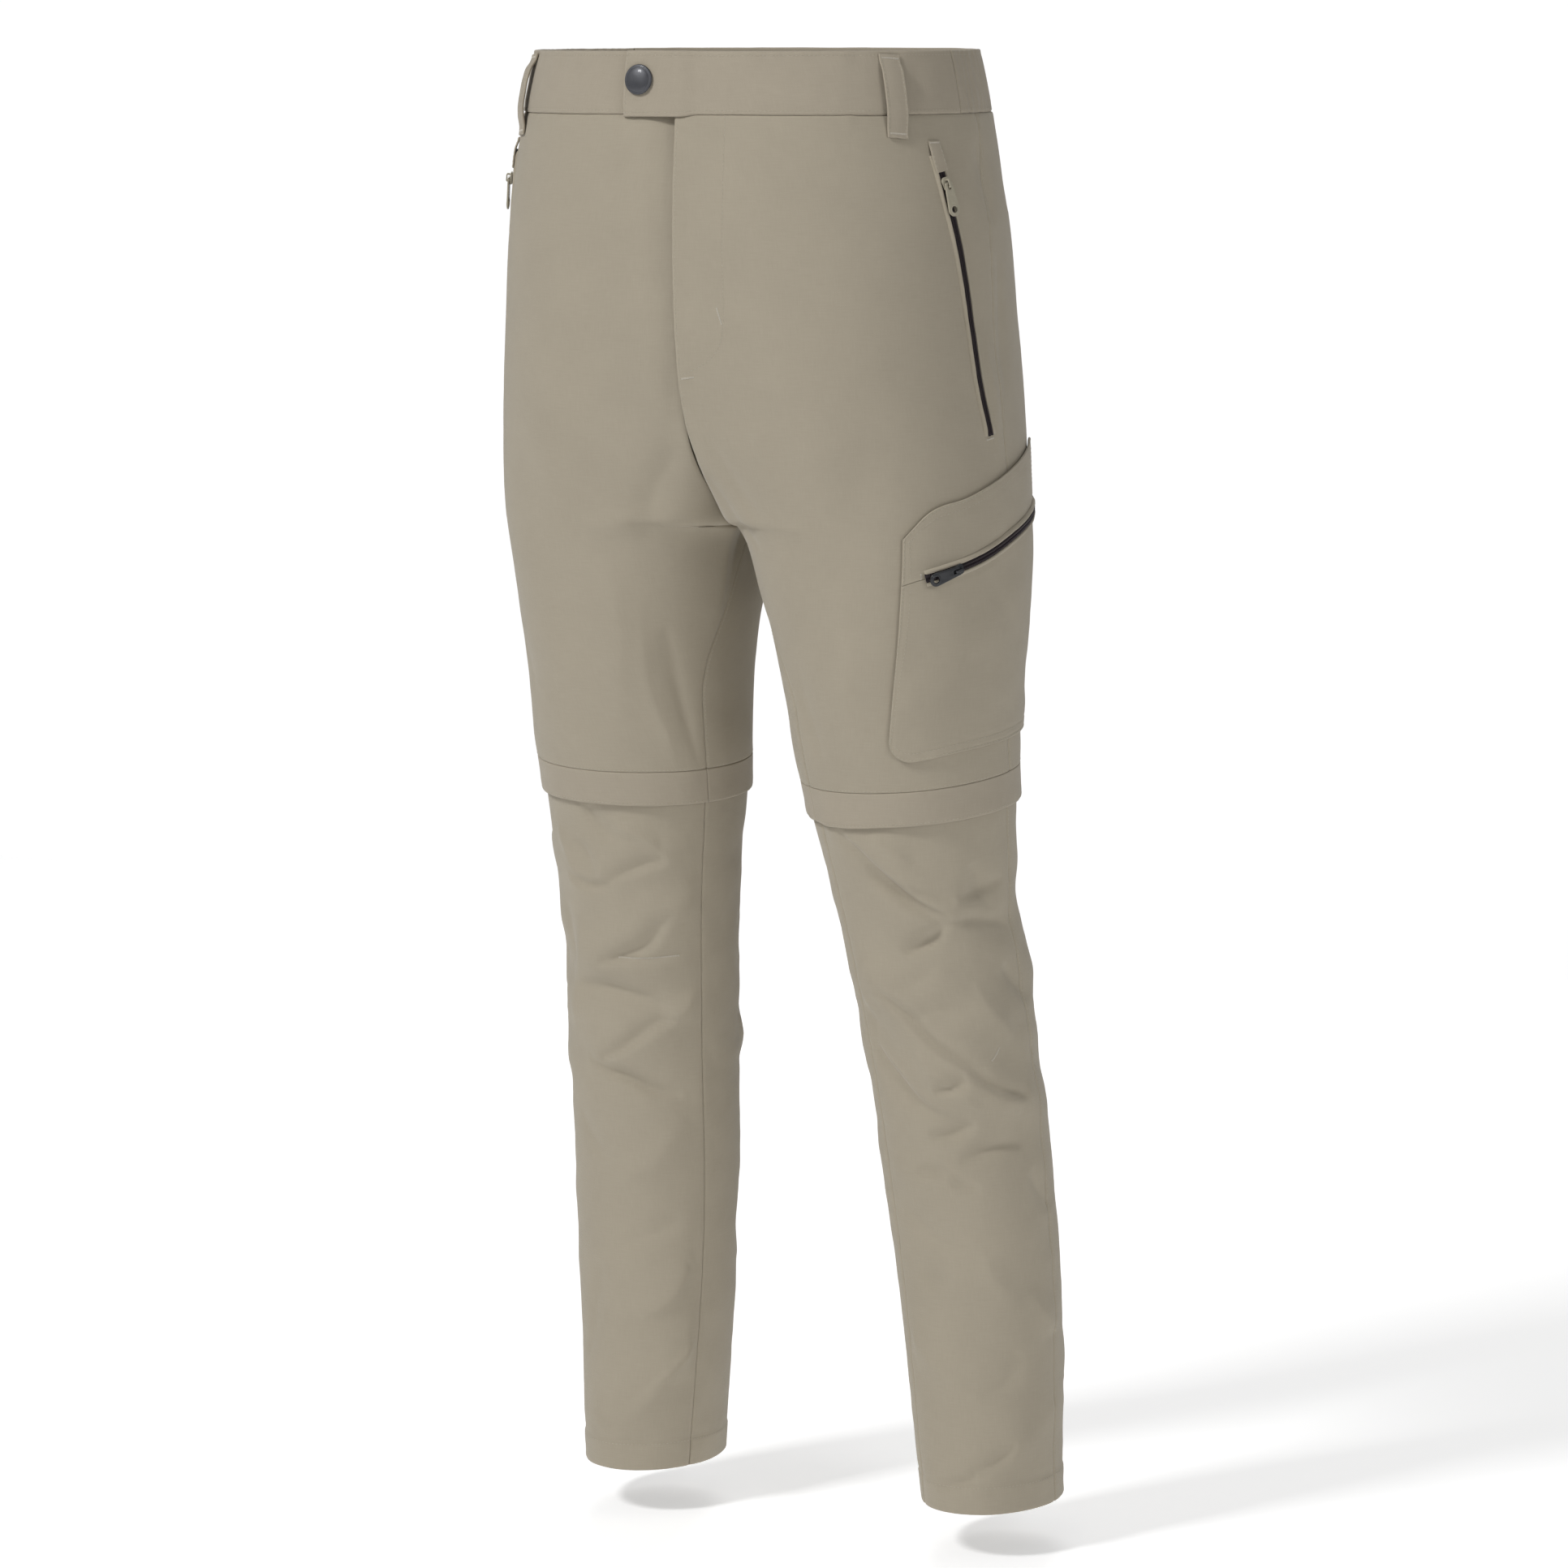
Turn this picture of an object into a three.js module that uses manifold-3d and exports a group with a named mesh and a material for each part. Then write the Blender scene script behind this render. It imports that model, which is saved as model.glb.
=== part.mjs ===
// Walking trousers with zip-off lower legs, open and filled out as when worn.
// Millimetres. The origin is the middle of the waist opening at its top edge,
// +Z is up, the front faces -Y and the wearer's left is +X.

import * as THREE from 'three';
import { mergeVertices } from 'three/addons/utils/BufferGeometryUtils.js';
import Module from 'manifold-3d';

const wasm = await Module();
wasm.setup();

// Cloth and seams
const CLOTH = 2;
const BAND_CLOTH = 3;
const HEM_CLOTH = 3;
const SEAM = 0.3;

// Heights of the main lines
const BAND_LOW = -43;
const CLEFT_TOP = -170;
const CROTCH = -325;
const COVER_TOP = -503;
const COVER_LOW = -528;
const LOWER_TOP = -512;
const HEM_TOP = -1018;
const HEM = -1040;

// How far back the four upper panels meet, how the centre seams curve down to that
// point (a larger fall turns later and a smaller reach turns more sharply), and how
// wide the round arch between the legs is at its foot
const CROTCH_Y = 4;
const FRONT_SEAM = { fall: 4, reach: 0.5 };
const BACK_SEAM = { fall: 3, reach: 0.45 };
const ARCH = { low: -390, halfWidth: 15 };

// Inner quarters of the section: how round they are (2 is an ellipse, less is fuller), how
// the panels' columns bunch there, and the heights below the crotch over which both settle
// and the inner seam moves back to the side seam's line and swings forward
const ROUND = { top: 2, crotch: 0.75, leg: 1 };
const BUNCH = { top: 0.65, crotch: 1.3, leg: 1 };
const SETTLE = 90;
const SEAM_BACK = 200;
const SEAM_SWING = 130;

// Half sections seen from above, a row for each height. out is the side seam's distance
// from the middle and inn that of the inner leg. front and back are how far the cloth
// reaches, frontAt and backAt how far out it does so, and side is how far back the side
// seam lies.
const SECTIONS = [
  { z: 6, out: 160, inn: 0, front: -112, back: 114, frontAt: 30, backAt: 32, side: 0 },
  { z: -43, out: 170, inn: 0, front: -118, back: 122, frontAt: 38, backAt: 40, side: 0 },
  { z: -110, out: 179, inn: 0, front: -123, back: 133, frontAt: 50, backAt: 56, side: 0 },
  { z: -190, out: 184, inn: 0, front: -121, back: 139, frontAt: 66, backAt: 76, side: 0 },
  { z: -260, out: 189, inn: 0, front: -110, back: 134, frontAt: 84, backAt: 90, side: 4 },
  { z: -325, out: 193, inn: 0, front: -94, back: 119, frontAt: 98, backAt: 98, side: 10 },
  { z: -390, out: 189, inn: 15, front: -80, back: 112, frontAt: 103, backAt: 103, side: 16 },
  { z: -455, out: 184, inn: 25, front: -64, back: 105, frontAt: 105, backAt: 105, side: 21 },
  { z: -525, out: 180, inn: 33, front: -42, back: 101, frontAt: 107, backAt: 107, side: 30 },
  { z: -600, out: 178, inn: 46, front: -22, back: 108, frontAt: 112, backAt: 112, side: 43 },
  { z: -700, out: 184, inn: 58, front: 0, back: 127, frontAt: 121, backAt: 121, side: 63 },
  { z: -850, out: 190, inn: 70, front: 26, back: 144, frontAt: 130, backAt: 130, side: 85 },
  { z: -1040, out: 188, inn: 90, front: 33, back: 159, frontAt: 139, backAt: 139, side: 96 },
];

// What differs between the legs: mirror is the sign of X, inseam how far the inner seam
// turns forward below the crotch (in quarters of the section) and dip how far the
// zip cover slopes down towards the front.
const LEGS = {
  left: { mirror: 1, inseam: 0.55, dip: 8 },
  right: { mirror: -1, inseam: 0.3, dip: 4 },
};

// Largest folds, a row each: a soft ridge or, with a negative height, a soft trough.
// around is the distance from the side seam along the cloth, positive to the back. Each
// fades away past its ends over FOLD_FADE times its width.
const FOLD_FADE = 1.4;
const FOLDS = [
  { leg: 'right', around: -78, z: -588, toAround: -150, toZ: -572, width: 13, height: 2.6 },
  { leg: 'right', around: -160, z: -606, toAround: -90, toZ: -652, width: 15, height: 3.2 },
  { leg: 'right', around: -62, z: -662, toAround: -142, toZ: -686, width: 17, height: -3.4 },
  { leg: 'right', around: -150, z: -692, toAround: -88, toZ: -724, width: 14, height: 2.6 },
  { leg: 'right', around: -72, z: -728, toAround: -146, toZ: -752, width: 14, height: -2.2 },
  { leg: 'right', around: -150, z: -936, toAround: -84, toZ: -1002, width: 18, height: 3.2 },
  { leg: 'right', around: 40, z: -610, toAround: 128, toZ: -580, width: 16, height: -3 },
  { leg: 'right', around: 24, z: -672, toAround: 130, toZ: -640, width: 17, height: 3.4 },
  { leg: 'right', around: 30, z: -742, toAround: 118, toZ: -716, width: 16, height: -2.6 },
  { leg: 'right', around: 60, z: -905, toAround: 110, toZ: -960, width: 18, height: 2.8 },
  { leg: 'left', around: -135, z: -540, toAround: -58, toZ: -600, width: 16, height: 3.6 },
  { leg: 'left', around: -88, z: -628, toAround: -10, toZ: -608, width: 15, height: -3 },
  { leg: 'left', around: -120, z: -650, toAround: -42, toZ: -726, width: 15, height: 3.4 },
  { leg: 'left', around: -128, z: -690, toAround: -74, toZ: -750, width: 14, height: -2.6 },
  { leg: 'left', around: -84, z: -724, toAround: -14, toZ: -736, width: 13, height: 2.4 },
  { leg: 'left', around: -100, z: -772, toAround: -24, toZ: -766, width: 16, height: -2.6 },
  { leg: 'left', around: -110, z: -792, toAround: -62, toZ: -804, width: 15, height: 2.2 },
  { leg: 'left', around: -104, z: -1016, toAround: -42, toZ: -990, width: 15, height: 2.6 },
  { leg: 'left', around: 36, z: -590, toAround: 124, toZ: -612, width: 16, height: -3 },
  { leg: 'left', around: 28, z: -646, toAround: 132, toZ: -674, width: 17, height: 3.4 },
  { leg: 'left', around: 24, z: -716, toAround: 112, toZ: -748, width: 16, height: -2.8 },
  { leg: 'left', around: 52, z: -930, toAround: 116, toZ: -896, width: 18, height: 2.8 },
  { leg: 'left', around: -128, z: -286, toAround: -140, toZ: -392, width: 20, height: -2.2 },
  { leg: 'right', around: -118, z: -300, toAround: -136, toZ: -404, width: 22, height: -1.8 },
  { leg: 'left', around: 96, z: -352, toAround: 150, toZ: -304, width: 20, height: -2.6 },
  { leg: 'right', around: 84, z: -344, toAround: 146, toZ: -300, width: 22, height: -2.4 },
];

// Waistband
const BAND_LIFT = 0.6;
const TAB_REACH = 39;
const TAB_LIFT = BAND_LIFT + SEAM + BAND_CLOTH;
const TAB_RISE = 16;
const TAB_COLUMNS = [-TAB_REACH, -26, -13, -4, 0, 4, 8, 12, 16, 22];
const FRONT_COLUMNS = 10;
const BACK_COLUMNS = 9;
const COLUMN_BUNCH = 0.8;
const ELASTIC_FROM = -20;
const ELASTIC_TO = 76;
const GATHERS = 7;
const GATHER_HEIGHT = 0.8;

// Fly
const FLY_STEP = 1.2;
const FLY_STEP_WIDTH = 14;
const FLY_STEP_LOW = -290;
const FLY_STEP_FADE = 60;
const SHIELD = { top: -46, low: -215, rows: 7, columns: [-10, 0, 12, 24, 36], lift: -CLOTH - 0.4 };

// Zip covers at the knees, which the upper legs flare out to
const FLARE = 2.6;
const COVER_EDGE_FLARE = 0.6;
const FLARE_FROM = -430;

// The covers dip at one turn of the section, and the cloth's level lines follow between
// two heights
const DIP_TURN = 0.7;
const DIP_FROM = -400;
const DIP_TO = -640;

// Belt loops: where each stands, and how far its inner face is off the cloth
const LOOP_WIDTH = 15;
const LOOP_CLOTH = 1.8;
const LOOPS = [
  { name: 'belt_loop_front_left', leg: 'left', around: -74 },
  { name: 'belt_loop_front_right', leg: 'right', around: -74 },
  { name: 'belt_loop_back_left', leg: 'left', around: 116 },
  { name: 'belt_loop_back_right', leg: 'right', around: 116 },
];
const LOOP_RISE = [
  { z: -3, off: 0.9 },
  { z: -8, off: 1.2 },
  { z: -13, off: 3.4 },
  { z: -20, off: 4.3 },
  { z: -31, off: 4.4 },
  { z: -41, off: 4 },
  { z: -47, off: 2.6 },
  { z: -53, off: 0.7 },
  { z: -59, off: 0.3 },
];

// Zips: a coil strip on the cloth, and the cover over the top end of a hand pocket's zip
const ZIP_HALF_WIDTH = 3.4;
const ZIP_CLOTH = 1.2;
const ZIP_LIFT = 0.35;
const HAND_ZIP = [
  { z: -70, around: -51 },
  { z: -106, around: -44 },
  { z: -146, around: -36 },
  { z: -186, around: -30 },
  { z: -230, around: -26 },
  { z: -262, around: -20 },
];
const HAND_SLIDER_Z = -90;
const ZIP_END_COVER = { top: -61, low: -82, halfWidth: 5, cloth: 1 };

// Thigh pocket on the left leg: heights of its top seam, zip and lower edge
const POCKET_LIFT = 0.9;
const POCKET_CLOTH = 2;
const POCKET_PUFF = 2.4;
const POCKET_CORNER = 18;
const POCKET = [
  { around: -100, top: -330, zip: -362, low: -488 },
  { around: -84, top: -314, zip: -357, low: -486 },
  { around: -50, top: -303, zip: -348, low: -480 },
  { around: 0, top: -287, zip: -331, low: -475 },
  { around: 70, top: -270, zip: -315, low: -468 },
];
const POCKET_COLUMNS = [-100, -97, -92, -86, -78, -64, -48, -32, -14, 6, 26, 48, 70];
const POCKET_ZIP_FROM = -84;
const POCKET_ZIP_TO = 66;
const POCKET_SLIDER_AROUND = -62;

// Slider and pull tab, in the slider's own axes: X across the zip, Y along it towards
// the hanging pull tab, Z out from the cloth
const SLIDER = { width: 7.6, tail: 5.4, length: 9, plate: 1.6, corner: 2 };
const BRIDGE = { width: 1.8, inside: 4, post: 1.2, window: 2.4, crown: 0.8, bevel: 0.8 };
const PULL = { thick: 1.2, top: 6.4, low: 9.6, length: 23, eye: 4.6, slot: 2.5, slotTo: 4.4 };
const PIVOT_HEIGHT = SLIDER.plate + BRIDGE.window / 2;
const PULL_LEAN = 3;

// Button
const BUTTON = { x: 27, z: -20, radius: 10.4, height: 4.2 };

const materials = {
  cloth: new THREE.MeshStandardMaterial({ color: 0xa39b87, roughness: 0.85, metalness: 0 }),
  band: new THREE.MeshStandardMaterial({ color: 0xa09783, roughness: 0.85, metalness: 0 }),
  coil: new THREE.MeshStandardMaterial({ color: 0x2a2226, roughness: 0.6, metalness: 0 }),
  tanPull: new THREE.MeshStandardMaterial({ color: 0x9c9480, roughness: 0.5, metalness: 0 }),
  blackPull: new THREE.MeshStandardMaterial({ color: 0x1c1e22, roughness: 0.5, metalness: 0 }),
  button: new THREE.MeshStandardMaterial({ color: 0x4a4b52, roughness: 0.4, metalness: 0.8 }),
};

const QUARTER = Math.PI / 2;
const trousers = new THREE.Group();

function clamp(value, low = 0, high = 1) {
  return Math.min(high, Math.max(low, value));
}

function mix(a, b, t) {
  return a + (b - a) * t;
}

function smooth(value) {
  const t = clamp(value);
  return t * t * (3 - 2 * t);
}

// Value of one column at a height, along a smooth curve through the rows
function column(rows, key, name, at) {
  const first = rows[0][key];
  const last = rows[rows.length - 1][key];
  const sense = Math.sign(last - first);
  const x = clamp(sense * at, sense * first, sense * last);
  let i = 0;
  while (i < rows.length - 2 && x > sense * rows[i + 1][key]) i += 1;
  const slope = (k) => {
    const a = rows[Math.max(0, k - 1)];
    const b = rows[k];
    const c = rows[Math.min(rows.length - 1, k + 1)];
    const before = sense * (b[key] - a[key]);
    const after = sense * (c[key] - b[key]);
    if (before === 0) return (c[name] - b[name]) / after;
    if (after === 0) return (b[name] - a[name]) / before;
    const rise = (b[name] - a[name]) / before;
    const next = (c[name] - b[name]) / after;
    return (rise * after + next * before) / (before + after);
  };
  const start = rows[i];
  const end = rows[i + 1];
  const span = sense * (end[key] - start[key]);
  const t = (x - sense * start[key]) / span;
  const t2 = t * t;
  const t3 = t2 * t;
  return (2 * t3 - 3 * t2 + 1) * start[name] + (t3 - 2 * t2 + t) * span * slope(i)
    + (3 * t2 - 2 * t3) * end[name] + (t3 - t2) * span * slope(i + 1);
}

// How far the centre seam has turned under at a height, 0 to 1
function turnedUnder(z) {
  return clamp((CLEFT_TOP - z) / (CLEFT_TOP - CROTCH));
}

// How much of its full reach a centre seam still has, 1 at its top and 0 at the crotch
function seamDepth(seam, t) {
  return (1 - t ** seam.fall) ** seam.reach;
}

// Half section at a height, with the depth of the centre seam at front and back and the
// roundness of the inner quarters
function section(z) {
  const half = {};
  for (const name of ['out', 'inn', 'front', 'back', 'frontAt', 'backAt', 'side']) {
    half[name] = column(SECTIONS, 'z', name, z);
  }
  if (z >= CROTCH) {
    const t = turnedUnder(z);
    half.inn = 0;
    half.round = mix(ROUND.top, ROUND.crotch, t ** 1.5);
    half.frontSeam = mix(CROTCH_Y, half.front, seamDepth(FRONT_SEAM, t));
    half.backSeam = mix(CROTCH_Y, half.back, seamDepth(BACK_SEAM, t));
    return half;
  }
  if (z > ARCH.low) half.inn = ARCH.halfWidth * Math.sqrt((CROTCH - z) / (CROTCH - ARCH.low));
  half.round = mix(ROUND.crotch, ROUND.leg, smooth((CROTCH - z) / SETTLE));
  half.frontSeam = mix(CROTCH_Y, half.side, clamp((CROTCH - z) / SEAM_BACK));
  half.backSeam = half.frontSeam;
  return half;
}

// Point of a half section. turn goes 0 to 4 from the centre front or inner leg round by
// the front, the side seam at 2 and the back, and on a leg it carries on past 4.
function sectionPoint(half, turn) {
  const whole = turn > 4 ? turn - 4 : Math.max(0, turn);
  const angle = (whole % 1) * QUARTER;
  const s = Math.sin(angle);
  const c = Math.cos(angle);
  if (whole < 1) {
    return [
      half.frontAt - (half.frontAt - half.inn) * c,
      half.frontSeam + (half.front - half.frontSeam) * s ** half.round,
    ];
  }
  if (whole < 2) {
    return [
      half.frontAt + (half.out - half.frontAt) * s,
      half.side + (half.front - half.side) * c,
    ];
  }
  if (whole < 3) {
    return [
      half.backAt + (half.out - half.backAt) * c,
      half.side + (half.back - half.side) * s,
    ];
  }
  if (whole < 4) {
    return [
      half.backAt - (half.backAt - half.inn) * s,
      half.backSeam + (half.back - half.backSeam) * c ** half.round,
    ];
  }
  return [half.inn, half.backSeam];
}

// Distances along a section from its side seam, at even turns
const TURN_STEPS = 24;
function distances(half) {
  const list = [0];
  let last = sectionPoint(half, 0);
  for (let i = 1; i <= 5 * TURN_STEPS; i += 1) {
    const next = sectionPoint(half, i / TURN_STEPS);
    list.push(list[i - 1] + Math.hypot(next[0] - last[0], next[1] - last[1]));
    last = next;
  }
  const side = list[2 * TURN_STEPS];
  return list.map((d) => d - side);
}

function aroundAt(half, turn) {
  const list = distances(half);
  const i = Math.min(list.length - 2, Math.floor(turn * TURN_STEPS));
  return mix(list[i], list[i + 1], turn * TURN_STEPS - i);
}

function turnAt(z, around) {
  const list = distances(section(z));
  let i = 0;
  while (i < list.length - 2 && list[i + 1] < around) i += 1;
  return (i + (around - list[i]) / (list[i + 1] - list[i])) / TURN_STEPS;
}

// Turn at a distance out from the centre front
function turnAtX(half, x) {
  if (x <= half.frontAt) return Math.acos(1 - x / half.frontAt) / QUARTER;
  return 1 + Math.asin((x - half.frontAt) / (half.out - half.frontAt)) / QUARTER;
}

// Turn that lies a few tenths of a millimetre further along a section
function nudge(z, turn, distance) {
  const half = section(z);
  const step = 0.002 * Math.sign(distance);
  const a = sectionPoint(half, turn);
  const b = sectionPoint(half, turn + step);
  return turn + step * Math.abs(distance) / Math.hypot(b[0] - a[0], b[1] - a[1]);
}

// Height of the folds at a place on a leg
function foldHeight(leg, around, z) {
  let sum = 0;
  for (const fold of FOLDS) {
    if (fold.leg !== leg) continue;
    const across = fold.toAround - fold.around;
    const down = fold.toZ - fold.z;
    const length = Math.hypot(across, down);
    const along = ((around - fold.around) * across + (z - fold.z) * down) / length;
    const aside = ((around - fold.around) * down - (z - fold.z) * across) / length;
    const past = Math.max(0, -along, along - length);
    const fade = Math.exp(-((past / (FOLD_FADE * fold.width)) ** 2));
    sum += fold.height * fade * Math.exp(-((aside / fold.width) ** 2));
  }
  return sum;
}

// A place on the cloth: its point on the outer face, folds included, and its normal
function place(leg, turn, z) {
  const mirror = LEGS[leg].mirror;
  const low = z > CROTCH ? Math.max(CROTCH + 1e-4, z - 0.25) : z - 0.25;
  const high = z > CROTCH ? z + 0.25 : Math.min(CROTCH, z + 0.25);
  const half = section(z);
  const before = sectionPoint(half, Math.max(z < CROTCH ? turn - 0.01 : 0, turn - 0.01));
  const after = sectionPoint(half, z < CROTCH ? turn + 0.01 : Math.min(4, turn + 0.01));
  const above = sectionPoint(section(high), turn);
  const below = sectionPoint(section(low), turn);
  const alongTurn = new THREE.Vector3(after[0] - before[0], after[1] - before[1], 0);
  const alongZ = new THREE.Vector3(above[0] - below[0], above[1] - below[1], high - low);
  const normal = alongTurn.cross(alongZ).normalize();
  const [x, y] = sectionPoint(half, turn);
  const around = aroundAt(half, turn);
  const point = new THREE.Vector3(x, y, z).addScaledVector(normal, foldHeight(leg, around, z));
  point.x *= mirror;
  normal.x *= mirror;
  return { point, normal, around };
}

// Point at a distance off the cloth. With a gap it keeps clear of the middle plane.
function offCloth(spot, leg, lift, gap = 0) {
  const point = spot.point.clone().addScaledVector(spot.normal, lift);
  const mirror = LEGS[leg].mirror;
  if (gap > 0) point.x = mirror * Math.max(gap, mirror * point.x);
  return point;
}

// A wall with an outer and an inner grid of points, closed round its rim. ring joins the
// last column to the first. Each square is split along its shorter diagonal.
function wallGeometry(outer, inner, ring = false) {
  const rows = outer.length;
  const columns = outer[0].length;
  const positions = [];
  const indices = [];
  for (const grid of [outer, inner]) {
    for (const row of grid) for (const point of row) positions.push(point.x, point.y, point.z);
  }
  const at = (layer, i, j) => layer * rows * columns + i * columns + (j % columns);
  const corner = (i, j) => outer[i][j % columns];
  const quad = (a, b, c, d) => indices.push(a, b, c, a, c, d);
  const spans = ring ? columns : columns - 1;
  for (let i = 0; i < rows - 1; i += 1) {
    for (let j = 0; j < spans; j += 1) {
      const falling = corner(i, j).distanceTo(corner(i + 1, j + 1));
      const rising = corner(i + 1, j).distanceTo(corner(i, j + 1));
      for (const layer of [0, 1]) {
        const loop = [at(layer, i, j), at(layer, i + 1, j), at(layer, i + 1, j + 1), at(layer, i, j + 1)];
        if (rising < falling) loop.push(loop.shift());
        if (layer === 1) loop.splice(0, 4, loop[0], loop[3], loop[2], loop[1]);
        quad(...loop);
      }
    }
  }
  for (let j = 0; j < spans; j += 1) {
    quad(at(0, 0, j), at(0, 0, j + 1), at(1, 0, j + 1), at(1, 0, j));
    quad(at(0, rows - 1, j), at(1, rows - 1, j), at(1, rows - 1, j + 1), at(0, rows - 1, j + 1));
  }
  if (!ring) {
    const end = columns - 1;
    for (let i = 0; i < rows - 1; i += 1) {
      quad(at(0, i, 0), at(1, i, 0), at(1, i + 1, 0), at(0, i + 1, 0));
      quad(at(0, i, end), at(0, i + 1, end), at(1, i + 1, end), at(1, i, end));
    }
  }
  if (enclosedVolume(positions, indices) < 0) indices.reverse();
  const geometry = new THREE.BufferGeometry();
  geometry.setAttribute('position', new THREE.Float32BufferAttribute(positions, 3));
  geometry.setIndex(indices);
  geometry.computeVertexNormals();
  return geometry;
}

function enclosedVolume(positions, indices) {
  const corner = (k) => new THREE.Vector3().fromArray(positions, 3 * indices[k]);
  let sum = 0;
  for (let k = 0; k < indices.length; k += 3) {
    sum += corner(k).dot(corner(k + 1).cross(corner(k + 2)));
  }
  return sum / 6;
}

function add(name, geometry, material) {
  const mesh = new THREE.Mesh(geometry, material);
  mesh.name = name;
  trousers.add(mesh);
  return mesh;
}

// A cloth piece. spotAt(i, j) gives { leg, turn, z, outer, inner, gap } for a grid place.
function clothPiece(name, material, rows, columns, spotAt, ring = false) {
  const outer = [];
  const inner = [];
  for (let i = 0; i <= rows; i += 1) {
    outer.push([]);
    inner.push([]);
    for (let j = 0; j < (ring ? columns : columns + 1); j += 1) {
      const spot = spotAt(i, j);
      const found = place(spot.leg, spot.turn, spot.z);
      outer[i].push(offCloth(found, spot.leg, spot.outer, spot.gap));
      inner[i].push(offCloth(found, spot.leg, spot.inner, spot.gap));
    }
  }
  return add(name, wallGeometry(outer, inner, ring), material);
}

// Height of a level line, which slopes down to the front near the knee
function levelHeight(leg, turn, level) {
  const near = level > COVER_TOP ? (DIP_FROM - level) / (DIP_FROM - COVER_TOP)
    : (level - DIP_TO) / (COVER_LOW - DIP_TO);
  const wave = Math.cos((turn - DIP_TURN) * QUARTER);
  return level - LEGS[leg].dip * wave * smooth(near);
}

// How far the upper leg stands out where it widens towards the zip cover
function flareAt(z) {
  return FLARE * smooth((FLARE_FROM - z) / (FLARE_FROM - COVER_TOP));
}

// Turn of the inner seam below the crotch
function inseamTurn(leg, z) {
  return LEGS[leg].inseam * smooth((CROTCH - z) / SEAM_SWING);
}

// Share of a panel's width that lies between its inner edge and the front or back crest
const INNER_SHARE = 0.43;

// Power that keeps the columns of the inner quarter about evenly spaced
function bunching(z) {
  if (z > CROTCH) return mix(BUNCH.top, BUNCH.crotch, turnedUnder(z));
  return mix(BUNCH.crotch, BUNCH.leg, smooth((CROTCH - z) / SETTLE));
}

function frontTurn(leg, z, share) {
  const start = z > CROTCH ? 0 : nudge(z, inseamTurn(leg, z), SEAM / 2);
  const end = nudge(z, 2, -SEAM / 2);
  if (share >= INNER_SHARE) return mix(1, end, (share - INNER_SHARE) / (1 - INNER_SHARE));
  return mix(start, 1, (share / INNER_SHARE) ** bunching(z));
}

function backTurn(leg, z, share) {
  const end = z > CROTCH ? 4 : nudge(z, 4 + inseamTurn(leg, z), -SEAM / 2);
  const start = nudge(z, 2, SEAM / 2);
  if (share >= INNER_SHARE) return mix(3, start, (share - INNER_SHARE) / (1 - INNER_SHARE));
  return mix(end, 3, (share / INNER_SHARE) ** bunching(z));
}

// Heights at even distances along the centre seam, from the waistband to the crotch
function centreSeamHeights(seam, curve, steps) {
  const heights = [];
  const samples = 400;
  for (let i = 0; i <= 20; i += 1) heights.push(mix(BAND_LOW - SEAM, CLEFT_TOP, i / 20));
  for (let i = 1; i <= samples; i += 1) {
    const t = Math.sin(i / samples * QUARTER) ** (2 / curve.fall);
    heights.push(mix(CLEFT_TOP, CROTCH, t));
  }
  const lengths = [0];
  for (let i = 1; i < heights.length; i += 1) {
    const rise = heights[i] - heights[i - 1];
    const run = section(heights[i])[seam] - section(heights[i - 1])[seam];
    lengths.push(lengths[i - 1] + Math.hypot(rise, run));
  }
  const total = lengths[lengths.length - 1];
  const result = [];
  let k = 0;
  for (let i = 0; i < steps; i += 1) {
    const target = total * i / steps;
    while (lengths[k + 1] < target) k += 1;
    const t = (target - lengths[k]) / (lengths[k + 1] - lengths[k]);
    result.push(mix(heights[k], heights[k + 1], t));
  }
  result.push(CROTCH);
  return result;
}

// Upper leg panels
const UPPER_COLUMNS = 13;
const RISE_ROWS = 13;
const THIGH_ROWS = 8;

function upperPanel(face, leg) {
  const rows = RISE_ROWS + THIGH_ROWS;
  const inner = face === 'front' ? centreSeamHeights('frontSeam', FRONT_SEAM, RISE_ROWS)
    : centreSeamHeights('backSeam', BACK_SEAM, RISE_ROWS);
  for (let i = 1; i <= THIGH_ROWS; i += 1) inner.push(mix(CROTCH, COVER_TOP, i / THIGH_ROWS));
  const flyEdge = face === 'front' && leg === 'left';
  clothPiece(`${face}_${leg}`, materials.cloth, rows, UPPER_COLUMNS, (i, j) => {
    const share = j / UPPER_COLUMNS;
    const sideLevel = mix(BAND_LOW - SEAM, COVER_TOP, i / rows);
    const level = mix(sideLevel, inner[i], (1 - share) ** 2);
    const turnOf = face === 'front' ? frontTurn : backTurn;
    let turn = turnOf(leg, level, share);
    const z = levelHeight(leg, turn, level);
    turn = turnOf(leg, z, share);
    let lift = flareAt(z);
    if (flyEdge && level > CROTCH) {
      const x = sectionPoint(section(z), turn)[0];
      lift += FLY_STEP * (1 - smooth(x / FLY_STEP_WIDTH)) * smooth((level - FLY_STEP_LOW) / FLY_STEP_FADE);
    }
    const gap = level > CROTCH - 1 ? SEAM / 2 : 0;
    return { leg, turn, z, outer: lift, inner: lift - CLOTH, gap };
  });
}

// Lower leg panels, with a turned hem
const LOWER_COLUMNS = 12;
const LOWER_ROWS = 18;

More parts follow.
